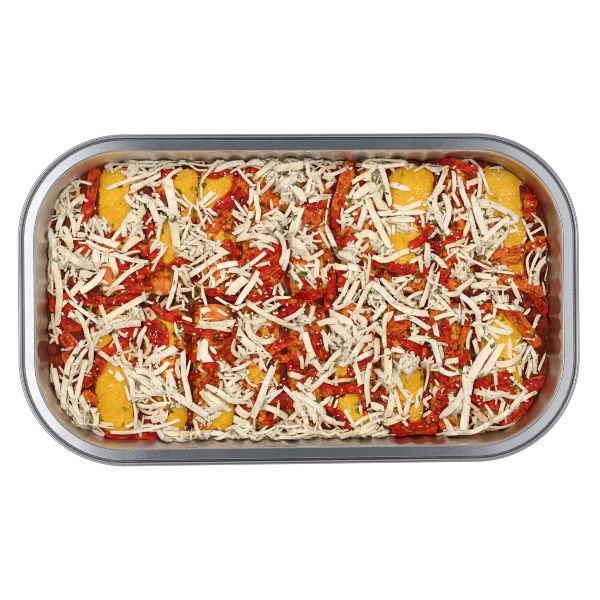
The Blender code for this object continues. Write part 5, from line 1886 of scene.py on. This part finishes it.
def scatter_shreds(pile, total, seed, near, clear, long, wide, tones, spread=3.0):
    """Short shreds and flakes that fill a heap among its longer shreds."""
    rng, count = random.Random(seed), 0
    while count < total:
        a = near_cheese[rng.randrange(len(near_cheese))]
        x, y = a[0] + rng.gauss(0, spread), a[1] + rng.gauss(0, spread)
        if wall_reach(x, y) < 13.0 or cheese_near(x, y) < near or tomato_near(x, y) < clear:
            continue
        if spots(BARE + SPARSE, np.array(x), np.array(y)) > 0.15:
            continue
        turn, half = rng.uniform(0, math.pi), rng.uniform(*long) / 2
        dx, dy = math.cos(turn) * half, math.sin(turn) * half
        bend = rng.uniform(-0.3, 0.3)
        points = [(x - dx, y - dy), (x - dy * bend, y + dx * bend), (x + dx, y + dy)]
        # The lowest layer also gets orange: partly sauce stain, partly painted warm shade.
        stain = rng.choice((0, 0.15, 0.3, 0.5)) if tones[0] < 0.3 else rng.choice((0, 0, 0, 0.25))
        tone = rng.uniform(*tones)
        shred(pile, points, rng.uniform(*wide), rng.uniform(0.5, 0.85), rng, tone, stain, 1.6, 0.06, section=SECTION_6)
        count += 1


# The under-layer gets darker, yellower tones than the top shreds, as painted shade.
scatter_shreds(loose[0], 580, 8, 4, 2.9, (3.5, 12.0), (1.0, 2.8), (0.25, 0.85), 4.2)

rng = random.Random(28)
for x, y, rx, ry, total in HEAPS:
    for _ in range(total):
        a, r = rng.uniform(0, TAU), math.sqrt(rng.random())
        px, py = x + rx * r * math.cos(a), y + ry * r * math.sin(a)
        turn, half, bend = rng.uniform(0, math.pi), rng.uniform(2.0, 5.5), rng.uniform(-0.25, 0.25)
        dx, dy = math.cos(turn) * half, math.sin(turn) * half
        points = [(px - dx, py - dy), (px - dy * bend, py + dx * bend), (px + dx, py + dy)]
        tone = rng.uniform(0.25, 1.0)
        shred(loose[1], points, rng.uniform(1.0, 2.6), rng.uniform(0.5, 0.9), rng, tone, 0.0, 1.6, 0.06, section=SECTION_6)

# Shreds that lie along the wall, on the sauce; fewer at the right side.
beside = Pile("tone", "stain")
rng, count = random.Random(15), 0
while count < 480:
    turn = rng.uniform(0, TAU)
    x, y = math.cos(turn) * 200, math.sin(turn) * 200
    x, y = float(np.clip(x, -HX + CORNER, HX - CORNER)), float(np.clip(y, -HY + CORNER, HY - CORNER))
    if rng.random() < 0.7:  # the long sides take their share
        x, y = rng.uniform(-HX + CORNER, HX - CORNER), rng.choice((-1, 1)) * (HY - CORNER)
        way = (0.0, math.copysign(1.0, y))
    else:
        way = (math.cos(turn), math.sin(turn))
    reach = CORNER - rng.uniform(11.4, 18.0)
    x, y = x + way[0] * reach, y + way[1] * reach
    if (x > 118 and rng.random() < 0.8) or spots(OPEN, np.array(x), np.array(y), 0.1) > 0.5:
        continue
    if (x < -128 and -52 < y < -2 and rng.random() < 0.7) or tomato_near(x, y) < 2.5:
        continue
    half, skew = rng.uniform(2.2, 6.5), rng.gauss(0, 0.45)
    dx, dy = -way[1] * math.cos(skew) + way[0] * math.sin(skew), way[0] * math.cos(skew) + way[1] * math.sin(skew)
    bow = half * half / 90
    points = [(x - dx * half - way[0] * bow, y - dy * half - way[1] * bow), (x, y), (x + dx * half - way[0] * bow, y + dy * half - way[1] * bow)]
    # These low-lying shreds by the wall get darker tones, as painted shade.
    tone, stain = rng.uniform(0.1, 0.8), rng.choice((0, 0, 0.3))
    shred(beside, points, rng.uniform(0.9, 2.2), rng.uniform(0.5, 0.9), rng, tone, stain, 1.8, 0.06, section=SECTION_6)
    count += 1

rng = random.Random(5)
long_piles = [Pile("tone", "stain"), Pile("tone", "stain")]
for k, (head, points) in enumerate(SHRED_ROWS):
    soaked = head.endswith("s")
    width = 0.93 * float(head.rstrip("s"))
    tone = rng.uniform(0.05, 0.35) if soaked else rng.uniform(0.4, 1.0)
    shred(long_piles[k % 2], points, width, rng.uniform(0.65, 1.05), rng, tone, 0.6 if soaked else 0.0)
rng = random.Random(77)
for k, head, points in late:
    lay_strip(k, head, points)

scatter_shreds(loose[1], 390, 18, 8, 3.2, (2.5, 8.5), (0.7, 1.8), (0.4, 1.0))

# Crumbs of cheese and white grains, dropped over everything.
rng = random.Random(13)
crumbs = Pile("tone", "stain")
count = 0
while count < 620:
    x, y = rng.uniform(-142, 142), rng.uniform(-78, 78)
    if wall_reach(x, y) < 15.5:
        continue
    bare = float(spots(BARE, np.array(x), np.array(y)))
    if bare > 0.4 and rng.random() < 0.8:
        continue
    if cheese_near(x, y) < 3 and rng.random() < 0.75:
        continue
    r = rng.uniform(0.4, 1.1)
    size = (r * rng.uniform(1.0, 1.5), r * rng.uniform(0.5, 0.9), r * rng.uniform(0.35, 0.6))
    blob(crumbs, (x, y, float(at(np.array(x), np.array(y))) + size[2] * 0.6), size, rng, 2, 5, 0.55, tone=rng.uniform(0.4, 1.0))
    count += 1
count = 0
while count < 430:
    x, y = rng.uniform(-142, 142), rng.uniform(-78, 78)
    bare = float(spots(BARE, np.array(x), np.array(y)))
    if wall_reach(x, y) < 15.5 or (bare < 0.3 and tomato_near(x, y) > 4 and rng.random() < 0.85):
        continue
    r = rng.uniform(0.16, 0.38)
    size = (r * rng.uniform(1.0, 2.2), r, r * 0.6)
    blob(crumbs, (x, y, float(at(np.array(x), np.array(y))) + size[2] * 0.6), size, rng, 2, 5, 0.2, tone=rng.uniform(0.7, 1.0))
    count += 1

dusted = []
while len(dusted) < 90:  # sprinkled in patches on the bare pasta
    x, y = rng.uniform(-118, 136), rng.uniform(-78, 78)
    if spots(BARE, np.array(x), np.array(y)) > 0.5:
        dusted.append((x, y))
for _ in range(620):
    x, y = rng.choice(dusted)
    x, y = x + rng.gauss(0, 1.7), y + rng.gauss(0, 1.7)
    r = rng.choice((rng.uniform(0.12, 0.22), rng.uniform(0.2, 0.42)))
    size = (r * rng.uniform(1.0, 3.2), r, r * 0.55)
    blob(crumbs, (x, y, float(at(np.array(x), np.array(y))) + size[2] * 0.3), size, rng, 2, 5, 0.25, tone=rng.uniform(0.4, 1.0))

# Seeds stuck to the tomato.
rng = random.Random(3)
seeds = Pile()
for _ in range(70):
    x, y = WET[rng.randrange(len(WET))] + np.array([rng.uniform(-2, 2), rng.uniform(-2, 2)])
    r = rng.uniform(0.65, 1.0)
    blob(seeds, (x, y, float(at(x, y)) + 0.05), (r, r * 0.72, 0.28), rng, 4, 10, 0.10)

# Parsley: thin torn flakes, a few of them clumped.
leaf = Pile("tone")


def flake(x, y, z, length, width, rng):
    turn, n = rng.uniform(0, TAU), 4
    v = np.linspace(-1, 1, n)
    w = width * (1 - 0.55 * v**2) * np.array([rng.uniform(0.6, 1.15) for _ in v])
    cup, arch = rng.uniform(-0.5, 0.7) * width, rng.uniform(-0.25, 0.5) * length
    tilt = rng.uniform(-0.35, 0.35)
    thick, pts = 0.11, []
    for face in (1, -1):
        for k in range(n):
            for side in (-1, 0, 1):
                px, py = v[k] * length, side * w[k] + rng.uniform(-0.1, 0.1)
                pz = cup * (abs(side) - 0.5) * 0.5 + arch * (0.5 - v[k] ** 2) + face * thick + tilt * px
                pts.append((px, py, pz))
    pts = np.array(pts)
    c, s = math.cos(turn), math.sin(turn)
    p = np.column_stack([pts[:, 0] * c - pts[:, 1] * s + x, pts[:, 0] * s + pts[:, 1] * c + y, pts[:, 2] + z])
    top, low = [], []
    m = n * 3
    for k in range(n - 1):
        for j in range(2):
            a = k * 3 + j
            top.append((a, a + 1, a + 4, a + 3))
            low.append((m + a, m + a + 3, m + a + 4, m + a + 1))
    ring = [0, 1, 2, 5, 8, 11, 10, 9, 6, 3]
    rim = [(ring[i], m + ring[i], m + ring[(i + 1) % 10], ring[(i + 1) % 10]) for i in range(10)]
    leaf.add(p, [np.array(top), np.array(low), np.array(rim)], tone=rng.uniform(0, 1))


rng = random.Random(41)
centres = []
while len(centres) < 330:
    x, y = rng.uniform(-140, 140), rng.uniform(-76, 76)
    if wall_reach(x, y) < 15:
        continue
    if spots(BARE, np.array(x), np.array(y)) > 0.4 and rng.random() < 0.4:
        continue
    centres.append((x, y))
for x, y in centres:
    clump = rng.choice((1, 1, 1, 2, 2, 4))
    for _ in range(clump):
        px, py = x + rng.gauss(0, 1.0) * (clump > 1), y + rng.gauss(0, 1.0) * (clump > 1)
        size = rng.choice((rng.uniform(0.55, 1.0), rng.uniform(1.0, 1.9)))
        z = float(at(np.array(px), np.array(py))) + 0.3
        flake(px, py, z, size * 1.1, size * rng.uniform(0.28, 0.62), rng)

nodes = sorted(n for n in NODES if n.startswith("tomato"))
half = len(nodes) // 2
tomato[0].build("tomato_strips_a", TOMATO, "tomato", replaces=nodes[:half], weld=True)
tomato[1].build("tomato_strips_b", TOMATO, "tomato", replaces=nodes[half:], weld=True)
bits.build("tomato_bits", TOMATO, "tomato", weld=True)
loose[0].build("cheese_under_layer", CHEESE, "cheese", sharp=42, weld=True)
loose[1].build("cheese_short_ends", CHEESE, "cheese", sharp=42, weld=True)
beside.build("cheese_along_wall", CHEESE, "cheese", sharp=42, weld=True)
long_piles[0].build("cheese_shreds_a", CHEESE, "cheese", sharp=42, weld=True, replaces=["cheese"])
long_piles[1].build("cheese_shreds_b", CHEESE, "cheese", sharp=42, weld=True)
keep_inside(crumbs)
crumbs.build("cheese_crumbs", CHEESE, "cheese", sharp=50, weld=True)
seeds.build("tomato_seeds", SEED, "tomato", weld=True)
leaf.build("parsley", LEAF, "sauce", weld=True)


# --------------------------------------------------------- floor, light, camera
def floor_material():
    mat = bpy.data.materials.new("studio_floor")
    mat.use_nodes = True
    b = mat.node_tree.nodes["Principled BSDF"]
    b.inputs["Base Color"].default_value = (0.30, 0.30, 0.30, 1)
    b.inputs["Roughness"].default_value = 0.9
    b.inputs["Specular IOR Level"].default_value = 0.0
    b.inputs["Emission Color"].default_value = (1, 1, 1, 1)
    b.inputs["Emission Strength"].default_value = 1.0
    return mat


mesh = bpy.data.meshes.new("floor")
mesh.from_pydata([(-3, -3, 0), (3, -3, 0), (3, 3, 0), (-3, 3, 0)], [], [(0, 1, 2, 3)])
mesh.materials.append(floor_material())
floor = bpy.data.objects.new("floor", mesh)
SCENE.collection.objects.link(floor)

world = bpy.data.worlds.new("studio")
SCENE.world = world
world.use_nodes = True
tree = world.node_tree
tree.nodes.clear()
sky_out = tree.nodes.new("ShaderNodeOutputWorld")
sky = tree.nodes.new("ShaderNodeBackground")
where = tree.nodes.new("ShaderNodeTexCoord")
part = tree.nodes.new("ShaderNodeSeparateXYZ")
ramp = tree.nodes.new("ShaderNodeValToRGB")
tree.links.new(where.outputs["Generated"], part.inputs[0])
tree.links.new(part.outputs["Z"], ramp.inputs["Fac"])
tree.links.new(ramp.outputs["Color"], sky.inputs["Color"])
tree.links.new(sky.outputs[0], sky_out.inputs[0])
SKY = [
    (0.0, (0.40, 0.39, 0.375)),
    (0.45, (0.40, 0.395, 0.385)),
    (0.80, (0.31, 0.31, 0.315)),
    (0.93, (0.155, 0.16, 0.175)),
    (0.99, (0.108, 0.115, 0.130)),
]
stops = ramp.color_ramp.elements
while len(stops) < len(SKY):
    stops.new(0.5)
for stop, (place, colour) in zip(stops, SKY):
    stop.position = place
    stop.color = (*colour, 1)


def softbox(name, place, size, radiance, aimed=False, colour=(1, 1, 1), mirrored=True):
    """A flat lamp, facing down or at the tray, unseen by the camera."""
    data = bpy.data.lights.new(name, "AREA")
    data.shape = "RECTANGLE"
    data.size, data.size_y = size
    data.energy = radiance * math.pi * size[0] * size[1]
    data.color = colour
    ob = bpy.data.objects.new(name, data)
    ob.location = place
    if aimed:
        ob.rotation_euler = (-Vector(place)).to_track_quat("-Z", "Y").to_euler()
    ob.visible_camera = False
    ob.visible_glossy = mirrored
    SCENE.collection.objects.link(ob)
    return ob


def flagged_off(lamp, piece):
    """Keeps a lamp off one piece, as a flag on a stand would."""
    shaded = bpy.data.collections.new(lamp.name + "_flag")
    shaded.objects.link(piece)
    lamp.light_linking.receiver_collection = shaded
    shaded.collection_objects[0].light_linking.link_state = "EXCLUDE"


WARM = (1.0, 0.985, 0.96)
softbox("overhead_fill", (0, 0, 1.5), (1.7, 1.7), 1.30, colour=(1.0, 0.885, 0.72), mirrored=False)
softbox("left_softbox", (-0.53, 0, 1.2), (0.50, 1.1), 1.0)
softbox("right_softbox", (0.56, 0, 1.2), (0.46, 0.9), 0.5)
flagged_off(softbox("key", (-0.38, 0.78, 1.25), (0.46, 0.46), 7.6, aimed=True, colour=WARM), TRAY)
flagged_off(softbox("cross_light", (0.75, 0.25, 1.10), (0.42, 0.42), 3.7, aimed=True, colour=WARM), TRAY)

camera = bpy.data.objects.new("camera", bpy.data.cameras.new("camera"))
camera.data.sensor_width = 36
camera.data.lens = 73.15
spot, aim = Vector((-0.0255, 0, 0.745)), Vector((-0.0006, -0.0006, RIM_Z * MM))
back = (spot - aim).normalized()
right = Vector((0, 1, 0)).cross(back).normalized()
turned = Matrix((right, back.cross(right), back)).transposed() @ Matrix.Rotation(math.radians(-0.47), 3, "Z")
camera.matrix_world = Matrix.Translation(spot) @ turned.to_4x4()
camera.data.clip_start = 0.05
SCENE.collection.objects.link(camera)
SCENE.camera = camera
SCENE.view_settings.view_transform = "Standard"
SCENE.view_settings.look = "None"
SCENE.cycles.filter_width = 1.0
